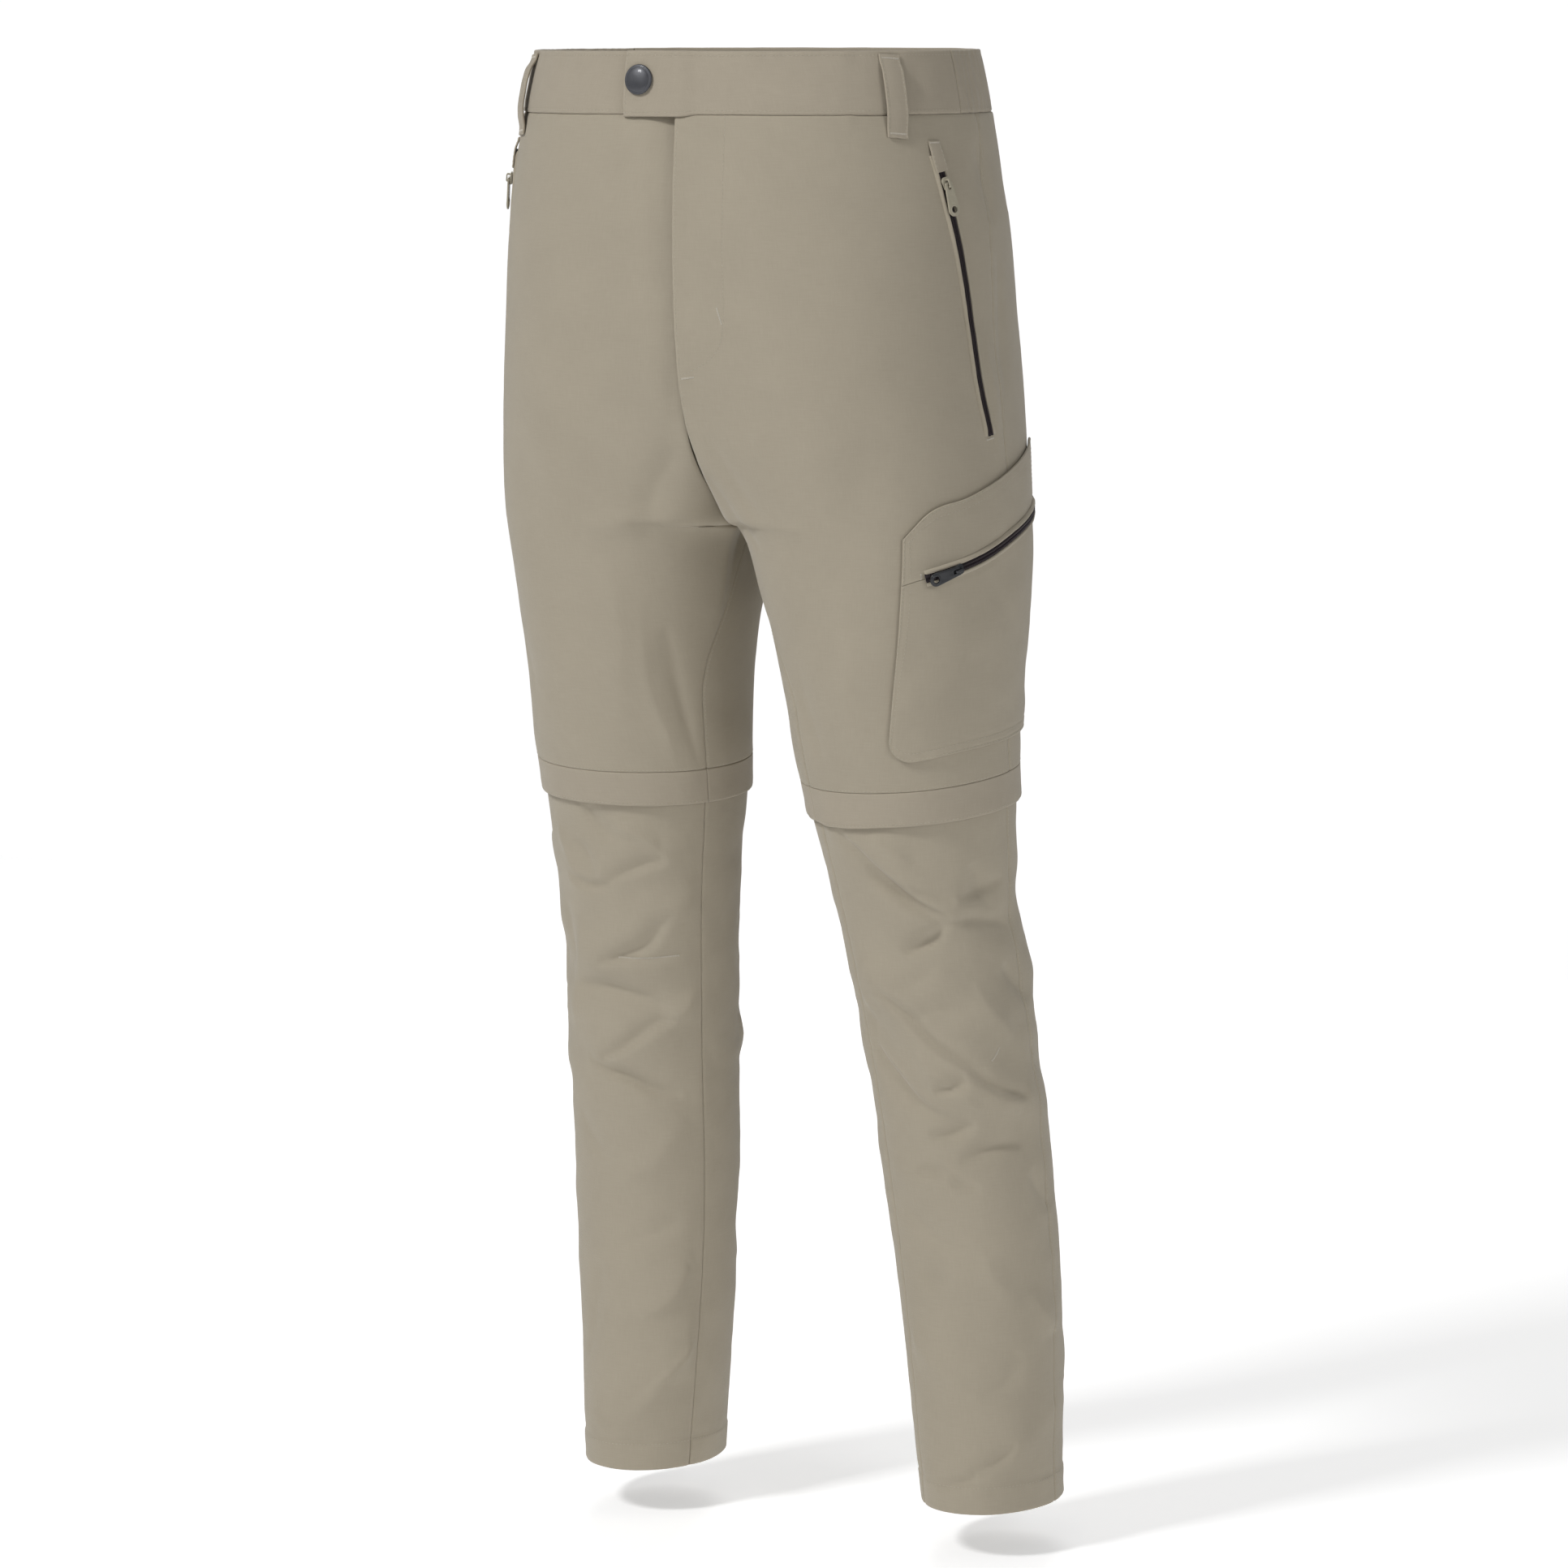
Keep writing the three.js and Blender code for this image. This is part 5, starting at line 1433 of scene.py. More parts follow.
def lie_between(
    leg: Leg, face: Face, levels: Callable[[np.ndarray], np.ndarray], count: int, pitch: float = PITCH
) -> Lie:
    """Spaces a panel's columns evenly along the cloth from its inner edge to its side seam.

    Args:
        leg: the leg.
        face: front or back.
        levels: gives the level of each row at each share of the width, rows by columns.
        count: number of rows.
        pitch: spacing of the columns in the middle.

    Returns:
        Where the points lie.
    """

    def ends(start: np.ndarray, z: np.ndarray) -> tuple[np.ndarray, float]:
        """Inner edge and side seam, as distances from the side seam."""
        seam = SEAM / 2 * (z < CROTCH)
        if face is Face.FRONT:
            return FORM.around(start, z) + seam, -SEAM / 2
        return FORM.around(4 + start, z) - seam, SEAM / 2

    share = np.linspace(0, 1, 5)[None, :] * np.ones((count, 1))
    for _ in range(3):
        inner = levels(share)[:, :1]
        start = inner_turn(leg, level_height(leg, np.zeros_like(inner), inner))
        first, last = ends(start, inner)
        width = np.abs(last - first)[:, 0]
        places = edge_spaced(width, pitch)
        share = places / width[:, None]
    level = levels(share)
    turn = np.full(level.shape, 1.0 if face is Face.FRONT else 3.0)
    for _ in range(3):
        z = level_height(leg, turn, level)
        first, last = ends(inner_turn(leg, z), z)
        turn = FORM.turn(first + (last - first) * share, z)
    return Lie(turn, z, edge_distance(places))


def seam_levels(depth: str, fall: float, distances: np.ndarray) -> np.ndarray:
    """Heights at distances along the centre seam, as shares of its length to the crotch.

    Args:
        depth: which seam, front_seam or back_seam.
        fall: power of its curve.
        distances: rising shares from 0 to 1.

    Returns:
        Heights in millimetres.
    """
    straight = np.linspace(BAND_LOW - SEAM, CLEFT_TOP, 21)
    curved = mix(CLEFT_TOP, CROTCH, np.sin(np.linspace(0, QUARTER, 401)[1:]) ** (2 / fall))
    heights = np.concatenate([straight, curved])
    depths = FORM.section(heights)[depth]
    length = np.concatenate([[0], np.cumsum(np.hypot(np.diff(heights), np.diff(depths)))])
    return np.interp(distances * length[-1], length, heights)


@dataclass
class UpperLeg:
    """The front and back panels of one upper leg, from the waistband to the zip cover.

    Args:
        leg: which leg.
        room: finishes and stitches.
        fly_step: how far the left front stands over the right one at the fly.
        fly_width: width over which it comes down.
        fly_low: where the fly ends.
        fly_fade: length over which it fades.
        fly_sink: how far the right front sinks in beside the left one's edge.
        sink_width: width of that hollow.
    """

    leg: Leg
    room: Workroom
    fly_step: float = 1.2
    fly_width: float = 14.0
    fly_low: float = -290.0
    fly_fade: float = 60.0
    fly_sink: float = 4.4
    sink_width: float = 24.0

    def _levels(self, face: Face) -> tuple[np.ndarray, np.ndarray]:
        """Levels of the rows at the side seam and at the inner edge."""
        total = (BAND_LOW - SEAM) - COVER_TOP
        side = edge_spaced(np.array(total), PITCH)
        crotch = int(np.argmin(np.abs(side - 0.66 * total)))
        share = side[: crotch + 1] / side[crotch]
        if face is Face.FRONT:
            rise = seam_levels("front_seam", FRONT_FALL, share)
        else:
            rise = seam_levels("back_seam", BACK_FALL, share)
        rise[-1] = CROTCH
        thigh = mix(CROTCH, COVER_TOP, (side[crotch + 1 :] - side[crotch]) / (total - side[crotch]))
        return BAND_LOW - SEAM - side, np.concatenate([rise, thigh])

    def patch(self, face: Face) -> Patch:
        """Works out one panel's wall."""
        side, inner = self._levels(face)
        levels = lambda share: mix(side[:, None], inner[:, None], (1 - share) ** 2)
        lie = lie_between(self.leg, face, levels, len(side))
        ends = np.minimum(side[0] - side, side - side[-1])[:, None]
        along = np.cumsum(np.abs(np.gradient(lie.z, axis=0)), axis=0)
        lift = flare_at(lie.z)
        band = np.abs(lie.z - BAND_LOW) < 60
        puckers = EDGES.height(ends, FORM.around(lie.turn, lie.z), 1.6)
        lift = lift + EDGES.height(lie.edge, along) + np.where(band, puckers, 0.12 * puckers)
        if face is Face.FRONT:
            x, _ = FORM.outline(lie.turn, lie.z)
            overlap = smooth((lie.z - self.fly_low) / self.fly_fade)
            if self.leg is LEFT:
                lift = lift + self.fly_step * (1 - smooth(x / self.fly_width)) * overlap
                lift = lift + GROOVE * bell(lie.edge, GROOVE_REACH) * (x < 60) * overlap
            else:
                lift = lift - self.fly_sink * (1 - smooth(x / self.sink_width)) * overlap
        return wall(self.leg, lie.turn, lie.z, lift, CLOTH, np.minimum(lie.edge, ends))

    def _seams(self, front: Patch, back: Patch) -> list[Path]:
        """Rows of topstitching beside the seams."""
        paths = [back.beside(Rim.LAST, 2.4, 1)]
        paths += [panel.beside(Rim.BOTTOM, 1.9, 1) for panel in (front, back)]
        paths += [back.beside(Rim.FIRST, 2.2, 1)]
        if self.leg is LEFT:
            paths += [front.beside(Rim.FIRST, 2.4, 1), back.beside(Rim.FIRST, 8.0, 1)]
            z = np.array((-44.5, -80, -120, -160, -186, -200, -209, -216, -219.5))
            aside = np.array((38, 38, 38, 38, 37.2, 33, 25, 12, 3.2))
            middle = FORM.around(np.zeros_like(z), z)
            paths.append(front.through(middle + aside, z))
        return paths

    def _tacks(self, front: Patch) -> list[Path]:
        """Dense bars at the fly and at the ends of the hand pocket."""
        low = HAND_ZIP(-264.0)
        bars = [front.through((low - 3.6, low + 3.6), (-265.0, -264.0))]
        if self.leg is LEFT:
            middle = FORM.around(np.zeros(2), np.array((-176.0, -222.0)))
            bars.append(front.through((middle[0] + 33, middle[0] + 36), (-173.0, -184.0)))
            bars.append(front.through((middle[1] + 3, middle[1] + 12), (-222.0, -221.0)))
        return bars

    def build(self) -> list[bpy.types.Object]:
        """Makes both panels and their stitching."""
        made = []
        walls = {face: self.patch(face) for face in Face}
        for face, patch in walls.items():
            name = f"{face.value}_{self.leg.name}_cloth"
            made.append(sheet_of_cloth(name, patch, self.room.finishes.cloth))
        front, back = walls[Face.FRONT], walls[Face.BACK]
        made.append(self.room.sew(f"upper_{self.leg.name}_topstitch", self._seams(front, back)))
        made.append(self.room.tack(f"upper_{self.leg.name}_tacks", self._tacks(front)))
        return made


# A line of pale stitches on each knee: distances from the side seam, then heights
KNEE_MARKS = {
    "right": ((-107, -130, -152), (-648.5, -648.0, -646.5)),
    "left": ((-42, -38, -35), (-706, -702, -697)),
}


@dataclass
class LowerLeg:
    """One zip-off lower leg: its front and back panels with a turned hem, and the cover over its zip.

    Args:
        leg: which leg.
        room: finishes and stitches.
        pitch: spacing of the panels' points.
    """

    leg: Leg
    room: Workroom
    pitch: float = 2.4

    def patch(self, face: Face) -> Patch:
        """Works out one panel's wall."""
        down = edge_spaced(np.array(LOWER_TOP - HEM), self.pitch)
        levels = LOWER_TOP - down
        lie = lie_between(self.leg, face, lambda share: levels[:, None] + 0 * share, len(levels), self.pitch)
        ends = edge_distance(down)[:, None]
        lift = EDGES.height(lie.edge, lie.z)
        fold = smooth((HEM_TOP + 2 - lie.z) / 4)
        line = bell(lie.z - HEM_TOP - 1, 1.8)
        wave = EDGES.noise(FORM.around(lie.turn, lie.z) / 8, lie.z / 14)
        lift = lift + fold * 0.25 - 0.45 * line + 0.22 * wave * np.exp(-np.abs(lie.z - HEM_TOP) / 9)
        return wall(self.leg, lie.turn, lie.z, lift, mix(CLOTH, HEM_CLOTH, fold), np.minimum(lie.edge, ends))

    def cover(self) -> Patch:
        """Works out the cover over the zip, a band all round the upper leg's lower edge."""
        levels = COVER_TOP - SEAM - edge_spaced(np.array(COVER_TOP - SEAM - COVER_LOW), 1.8)
        middle = (COVER_TOP + COVER_LOW) / 2
        start = float(inner_turn(self.leg, np.array(middle)))
        first, last = (float(FORM.around(np.array(turn), np.array(middle))) for turn in (start, start + 4))
        places = edge_spaced(np.array(last - first), PITCH)
        turn = FORM.turn(first + places, np.array(middle))[None, :]
        level = levels[:, None] + 0 * turn
        z = level_height(self.leg, turn + 0 * level, level)
        ends = np.minimum(level - COVER_LOW, COVER_TOP - SEAM - level)
        edge = np.minimum(edge_distance(places)[None, :], ends)
        low = clamp((COVER_TOP - level) / (COVER_TOP - COVER_LOW))
        wave = EDGES.noise(places[None, :] / 9, level / 15)
        lift = FLARE + COVER_EDGE_FLARE * low + 0.3 * wave * low
        lift = lift + 0.25 * bell(level - COVER_LOW - 5, 5)
        return wall(self.leg, turn + 0 * level, z, lift, CLOTH + 0.3, edge)

    def build(self) -> list[bpy.types.Object]:
        """Makes the panels, the cover and their stitching."""
        made, paths = [], []
        for face in Face:
            name = f"lower_{face.value}_{self.leg.name}_cloth"
            patch = self.patch(face)
            made.append(sheet_of_cloth(name, patch, self.room.finishes.cloth))
            paths.append(patch.beside(Rim.BOTTOM, HEM_TOP - HEM - 1.2, 1))
            if face is Face.BACK:
                paths.append(patch.beside(Rim.LAST, 2.4, 1))
            else:
                marks = [patch.through(*KNEE_MARKS[self.leg.name], 0.1)]
                made.append(self.room.tack(f"knee_mark_{self.leg.name}", marks))
        cover = self.cover()
        name = f"zip_cover_{self.leg.name}_cloth"
        made.append(sheet_of_cloth(name, cover, self.room.finishes.band))
        paths += [cover.beside(Rim.BOTTOM, 2.6, 1)]
        made.append(self.room.sew(f"lower_{self.leg.name}_topstitch", paths))
        return made


def ribbon(
    leg: Leg,
    around: np.ndarray,
    z: np.ndarray,
    offsets: Sequence[float],
    lifts: np.ndarray,
    thickness: float,
    across_middle: bool = False,
) -> Patch:
    """Strip of cloth that follows a line on the worn form.

    Args:
        leg: which leg.
        around: distances of the line's points from the side seam.
        z: their heights.
        offsets: rising distances of the strip's columns from the line.
        lifts: distance of the outer face from the form, by row and column or for each column.
        thickness: of the cloth.
        across_middle: whether the strip crosses the centre back.

    Returns:
        The strip's wall.
    """
    around, z = np.asarray(around, float), np.asarray(z, float)
    run, rise = np.gradient(around), np.gradient(z)
    length = np.hypot(run, rise)
    offsets = np.asarray(offsets, float)
    a = around[:, None] - offsets * (rise / length)[:, None]
    height = z[:, None] + offsets * (run / length)[:, None]
    lifts = np.broadcast_to(np.asarray(lifts, float), a.shape)
    down = np.concatenate([[0], np.cumsum(np.hypot(np.diff(around), np.diff(z)))])
    edge = np.minimum(edge_distance(offsets)[None, :], edge_distance(down)[:, None])
    side = None
    if across_middle:
        whole = FORM.around(np.full_like(height, 4), height)
        side = np.where(a > whole, -1.0, 1.0)
        a = np.where(a > whole, 2 * whole - a, a)
    return wall(leg, FORM.turn(a, height), height, lifts, thickness, edge, side)


BAND_LIFT = 0.6
ELASTIC_FROM, ELASTIC_TO = -20.0, 76.0
TAB_REACH, TAB_LIFT, TAB_RISE = 39.0, 3.9, 16.0


def turn_at_x(x: np.ndarray, z: np.ndarray) -> np.ndarray:
    """Turn on the front face that lies at a distance from the middle plane."""
    turns = np.linspace(0, 1.6, 241)
    found, _ = FORM.outline(turns[None, :], np.asarray(z, float).reshape(-1, 1))
    flat = np.broadcast_to(x, np.shape(z)).ravel()
    return np.array([np.interp(a, row, turns) for a, row in zip(flat, found)]).reshape(np.shape(z))


@dataclass
class Waistband:
    """The waistband: two fronts, two elasticated sides and the back, with its tab.

    Args:
        room: finishes and stitches.
        gathers: gathers in each elasticated side.
        gather_depth: mean depth of a gather.
        uneven: how much the gathers differ.
        tab_drop: how much deeper the tab is than the band, as a share.
    """

    room: Workroom
    gathers: int = 11
    gather_depth: float = 0.85
    uneven: float = 0.5
    tab_drop: float = 0.04

    def _relief(self, a: np.ndarray, z: np.ndarray) -> np.ndarray:
        """Soft rolls and puckers that a band with two turned edges has."""
        belly = 0.35 * np.sin(math.pi * clamp(z / BAND_LOW))
        seam = -0.35 * bell(z - BAND_LOW, 2) - 0.3 * bell(z + 4, 1.3) - 0.3 * bell(z - BAND_LOW - 4, 1.3)
        wave = EDGES.noise(a / 9, z / 30 + 4) * 0.28 + EDGES.noise(a / 23, z / 40) * 0.35
        return belly + seam + wave

    def _rows(self) -> np.ndarray:
        """Heights of the rows."""
        return -edge_spaced(np.array(-BAND_LOW), 2.2)

    def _strip(self, leg: Leg, first: np.ndarray, last: np.ndarray, gather: bool) -> Patch:
        """Works out a strip between two distances from the side seam, given by row."""
        z = self._rows()[:, None]
        places = edge_spaced(np.broadcast_to(last - first, z.shape)[:, 0], 1.6 if gather else PITCH)
        a = first + places
        z = z + 0 * a
        lift = BAND_LIFT + self._relief(a * leg.mirror, z)
        if gather:
            share = places / places[:, -1:]
            drift = 0.55 * EDGES.noise(share * 9 + 3 * leg.mirror, z / 60)
            wave = np.cos(2 * math.pi * (self.gathers * share + drift))
            vary = 1 + self.uneven * EDGES.noise(share * 7 + 20, z / 25)
            fade = smooth(np.minimum(share, 1 - share) * 9)
            lift = lift - self.gather_depth * (0.5 - 0.5 * wave) * vary * fade
            lift = lift + 0.22 * EDGES.noise(a / 2.6, z / 18) * fade
        edge = np.minimum(edge_distance(places), np.minimum(-z, z - BAND_LOW))
        return wall(leg, FORM.turn(a, z), z, lift, BAND_CLOTH, edge)

    def tab(self) -> Patch:
        """Works out the left front, whose end runs on past the middle as the button tab."""
        z = self._rows()[:, None]
        whole = FORM.around(np.zeros_like(z), z)
        reach = -whole + ELASTIC_FROM - SEAM
        places = edge_spaced((reach + TAB_REACH)[:, 0], PITCH)
        past = places - TAB_REACH
        side = np.where(past < 0, -1.0, 1.0)
        a = whole + np.abs(past)
        z = z + 0 * a
        rise = smooth((past - 1) / TAB_RISE)
        z = z * (1 + self.tab_drop * (1 - rise))
        lift = mix(TAB_LIFT, BAND_LIFT, rise) + self._relief(past, z)
        corner = 9.0
        tip = clamp(1 - places / corner)
        down = -self._rows()[:, None] + 0 * a
        near = clamp(1 - np.minimum(down, -BAND_LOW - down) / corner)
        lift = lift - 0.9 * tip**2 * (0.3 + near**2)
        edge = np.minimum(edge_distance(places), np.minimum(down, -BAND_LOW - down))
        return wall(LEFT, FORM.turn(a, z), z, lift, BAND_CLOTH, edge, side)

    def build(self) -> list[bpy.types.Object]:
        """Makes the five strips and their stitching."""
        band, z = self.room.finishes.band, self._rows()[:, None]
        front = FORM.around(np.zeros_like(z), z)
        back = FORM.around(np.full_like(z, 4), z)
        parts = {"waistband_front_left": self.tab()}
        start, end = ELASTIC_FROM + 0 * z, ELASTIC_TO + 0 * z
        parts["waistband_front_right"] = self._strip(RIGHT, front + MIDDLE_GAP, start - SEAM, False)
        for leg in LEGS:
            parts[f"waistband_side_{leg.name}"] = self._strip(leg, start, end, True)
        parts["waistband_back"] = self._back(back)
        made, paths = [], []
        for name, patch in parts.items():
            held = Hold.GATHERED if "side" in name else Hold.STRETCHED
            made.append(sheet_of_cloth(name + "_cloth", patch, band))
            trim = 2.0 if name == "waistband_front_left" else 0.5
            paths += [patch.beside(Rim.BOTTOM, 3.6, trim), patch.beside(Rim.TOP, 4.2, trim)]
        paths.append(parts["waistband_front_left"].beside(Rim.FIRST, 3.0, 3.6))
        made.append(self.room.sew("waistband_topstitch", paths, Slot.BAND))
        return made

    def _back(self, whole: np.ndarray) -> Patch:
        """Works out the back strip, which crosses the centre back."""
        z = self._rows()[:, None]
        start = ELASTIC_TO + SEAM
        places = edge_spaced((2 * (whole - start))[:, 0], PITCH)
        past = start + places - whole
        side = np.where(past > 0, -1.0, 1.0)
        a = whole - np.abs(past)
        z = z + 0 * a
        edge = np.minimum(edge_distance(places), np.minimum(-z, z - BAND_LOW))
        lift = BAND_LIFT + self._relief(past, z)
        return wall(LEFT, FORM.turn(a, z), z, lift, BAND_CLOTH, edge, side)


LOOP_WIDTH, LOOP_CLOTH = 15.0, 1.8
LOOP_RISE = Curve((-3, -8, -13, -20, -31, -41, -47, -53, -59), (0.9, 1.2, 3.4, 4.3, 4.4, 4.0, 2.6, 0.7, 0.3))


@dataclass
class BeltLoops:
    """Belt loops, sewn down at both ends.

    Args:
        room: finishes and stitches.
        front, back: where the loops sit, as distances from the side seam.
        hollow: how far a loop's middle sinks between its edges.
        lean: how far the front loops slope.
    """

    room: Workroom
    front: float = -74.0
    back: float = 116.0
    hollow: float = 0.35
    lean: float = 5.0

    def _heights(self) -> np.ndarray:
        """Heights of a loop's rows."""
        return -3 - edge_spaced(np.array(56.0), 1.6)

    def _loop(self, leg: Leg, around: np.ndarray, middle: bool = False) -> Patch:
        """Works out one loop."""
        z = self._heights()
        offsets = edge_spaced(np.array(LOOP_WIDTH), 2.0) - LOOP_WIDTH / 2
        roll = self.hollow * (bell(np.abs(offsets) - 5.4, 1.1) - 0.5)
        wave = 0.2 * EDGES.noise(z / 8 + leg.mirror * 3, z * 0 + around.mean() / 20)
        lifts = LOOP_RISE(z)[:, None] + LOOP_CLOTH + wave[:, None] - roll[None, :] - 0.12
        aside = around + self.lean * (z + 3) / 56 * (around < 0)
        return ribbon(leg, aside, z, offsets, lifts, LOOP_CLOTH, middle)

    def build(self) -> list[bpy.types.Object]:
        """Makes the five loops and their stitching."""
        loops = {}
        for leg in LEGS:
            for place, around in (("front", self.front), ("back", self.back)):
                loops[f"belt_loop_{place}_{leg.name}"] = self._loop(leg, np.full(1, around))
        z = self._heights()
        loops["belt_loop_centre_back"] = self._loop(LEFT, FORM.around(np.full_like(z, 4), z), True)
        band = self.room.finishes.band
        made, edges, bars = [], [], []
        for name, patch in loops.items():
            made.append(sheet_of_cloth(name + "_cloth", patch, band))
            edges += [patch.beside(Rim.FIRST, 2.0, 2.5), patch.beside(Rim.LAST, 2.0, 2.5)]
            bars += [patch.beside(Rim.TOP, 3.2, 2.2), patch.beside(Rim.BOTTOM, 3.4, 2.2)]
        made.append(self.room.sew("belt_loop_topstitch", edges, Slot.BAND))
        made.append(self.room.tack("belt_loop_tacks", bars, Slot.BAND))
        return made


ZIP_LIFT, ZIP_DEPTH = 0.35, 1.2
POCKET_ZIP_FROM, POCKET_ZIP_TO = -84.0, 66.0
POCKET_SLIDER_AROUND = -62.0
HAND_ZIP = Curve((-70, -106, -146, -186, -230, -262), (-51, -44, -36, -30, -26, -20))
HAND_ZIP_TOP, HAND_ZIP_LOW, HAND_SLIDER_Z = -70.0, -262.0, -90.0
PULL_LENGTH = 23.0
POCKET_AROUND = (-100, -84, -50, 0, 70)
POCKET_TOP = Curve(POCKET_AROUND, (-330, -314, -303, -287, -270))
POCKET_ZIP = Curve(POCKET_AROUND, (-362, -357, -348, -331, -315))
POCKET_LOW = Curve(POCKET_AROUND, (-488, -486, -480, -475, -468))
POCKET_CORNER = 18.0
POCKET_ROWS = (2.0, 7.0)


@dataclass
class ThighPocket:
    """The left thigh pocket: its top above the zip and its bag below.

    Args:
        room: finishes and stitches.
        lift: gap under the pocket's cloth.
        cloth: its thickness.
        puff: how far the bag swells.
    """

    room: Workroom
    lift: float = 0.9
    cloth: float = 1.8
    puff: float = 2.4

    def _patch(self, top: Callable, low: Callable, puff: float) -> Patch:
        """Works out one piece between two lines."""
        places = edge_spaced(np.array(float(POCKET_AROUND[-1] - POCKET_AROUND[0])), 2.6)
        a = (POCKET_AROUND[0] + places)[None, :]
        height = float(np.max(top(a) - low(a)))
        share = edge_spaced(np.array(height), 2.4)[:, None] / height
        z = mix(top(a), low(a), share)
        a = a + 0 * z
        swell = np.sin(math.pi * share) * np.sin(math.pi * places / places[-1])[None, :] ** 0.7
        sides = edge_distance(places)[None, :]
        ends = np.minimum(share, 1 - share) * (top(a) - low(a))
        near = np.minimum(sides, ends)
        lift = self.lift + self.cloth + flare_at(z) + puff * swell
        noise = 0.5 * EDGES.noise(a / 30 + 2, z / 22) + 0.25 * EDGES.noise(a / 11, z / 13 + 6)
        lift = lift + noise * smooth(near / 16)
        for row, reach in zip(POCKET_ROWS, (0.9, 1.1)):
            lift = lift - 0.35 * bell(near - row, reach)
        return wall(LEFT, FORM.turn(a, z), z, lift, self.cloth, near)

    def _bag_low(self, a: np.ndarray) -> np.ndarray:
        """Lower edge of the bag, with its rounded front corner."""
        inset = np.maximum(0, POCKET_CORNER - (a - POCKET_AROUND[0]))
        return POCKET_LOW(a) + POCKET_CORNER - np.sqrt(POCKET_CORNER**2 - inset**2)

    def build(self) -> list[bpy.types.Object]:
        """Makes both pieces, the zip between them and the stitching."""
        top = self._patch(POCKET_TOP, lambda a: POCKET_ZIP(a) + SEAM / 2, 0.0)
        bag = self._patch(lambda a: POCKET_ZIP(a) - SEAM / 2, self._bag_low, self.puff)
        cloth, made, paths = self.room.finishes.cloth, [], []
        for name, patch in (("pocket_top_left", top), ("pocket_bag_left", bag)):
            made.append(sheet_of_cloth(name + "_cloth", patch, cloth))
            for distance in POCKET_ROWS:
                end = Rim.TOP if patch is top else Rim.BOTTOM
                for rim in (Rim.FIRST, Rim.LAST, end):
                    paths.append(patch.beside(rim, distance, distance - 0.5))
        made.append(self.room.sew("pocket_left_topstitch", paths))
        around = np.linspace(POCKET_ZIP_FROM, POCKET_ZIP_TO, 76)
        zip_run = ZipRun(self.room, LEFT, "pocket", around, POCKET_ZIP(around), self.lift + 2.0)
        made += zip_run.build(self.room.finishes.black, Slot.BLACK)
        ends = []
        for end in (POCKET_ZIP_FROM - 3.0, POCKET_ZIP_TO + 3.0):
            middle = float(POCKET_ZIP(np.array(end)))
            ends.append(top.through((end, end), (middle + 4.2, middle + 0.6), 0.2))
        made.append(self.room.tack("pocket_left_tacks", ends))
        return made


WELD = 1e-3
SHARP = math.radians(38)


def curve_plate(
    name: str,
    loops: Sequence[Sequence[tuple[float, float]]],
    thickness: float,
    bevel: float,
    finish: bpy.types.Material,
) -> bpy.types.Object:
    """Makes a flat plate with rounded edges from its outline and holes.

    Args:
        name: the piece's name.
        loops: the outline, then any holes, in millimetres.
        thickness: of the plate.
        bevel: radius of its edges.
        finish: the material.

    Returns:
        The plate, centred on its own plane, in millimetres.
    """
    curve = bpy.data.curves.new(name + "_outline", "CURVE")
    curve.dimensions, curve.fill_mode = "2D", "BOTH"
    curve.extrude, curve.bevel_depth = thickness / 2 - bevel, bevel
    curve.offset, curve.bevel_resolution = -bevel, 2
    for loop in loops:
        spline = curve.splines.new("POLY")
        spline.points.add(len(loop) - 1)
        for point, (x, y) in zip(spline.points, loop):
            point.co = (x, y, 0, 1)
        spline.use_cyclic_u = True
    guide = in_scene(name + "_outline", curve)
    graph = bpy.context.evaluated_depsgraph_get()
    mesh = bpy.data.meshes.new_from_object(guide.evaluated_get(graph))
    bpy.data.objects.remove(guide)
    bpy.data.curves.remove(curve)
    mesh.name = name
    mesh.materials.clear()
    mesh.materials.append(finish)
    piece = in_scene(name, mesh)
    close_and_smooth(piece)
    return piece


def close_and_smooth(piece: bpy.types.Object) -> None:
    """Merges doubled points, turns the faces outwards and shades all but sharp edges smooth."""
    mesh = bmesh.new()
    mesh.from_mesh(piece.data)
    bmesh.ops.remove_doubles(mesh, verts=mesh.verts, dist=WELD)
    bmesh.ops.recalc_face_normals(mesh, faces=mesh.faces)
    mesh.to_mesh(piece.data)
    mesh.free()
    piece.data.shade_smooth()
    piece.data.set_sharp_from_angle(angle=SHARP)


def join(name: str, pieces: Sequence[bpy.types.Object], turns: Sequence[Matrix]) -> bpy.types.Object:
    """Joins pieces made in millimetres into one mesh in metres.

    Args:
        name: the piece's name.
        pieces: the parts, which are used up.
        turns: where each part goes, in millimetres.

    Returns:
        The piece, at the origin.
    """
    mesh = bmesh.new()
    finish = pieces[0].data.materials[0]
    for piece, turn in zip(pieces, turns):
        piece.data.transform(Matrix.Scale(MM, 4) @ turn)
        mesh.from_mesh(piece.data)
        bpy.data.objects.remove(piece)
    data = bpy.data.meshes.new(name)
    mesh.to_mesh(data)
    mesh.free()
    data.materials.append(finish)
    data.set_sharp_from_angle(angle=SHARP)
    return in_scene(name, data)


def arc(
    x: float, y: float, radius: float, start: float, end: float, steps: int
) -> list[tuple[float, float]]:
    """Points round an arc, in degrees."""
    angles = np.radians(np.linspace(start, end, steps + 1))
    return [(x + radius * math.cos(a), y + radius * math.sin(a)) for a in angles]


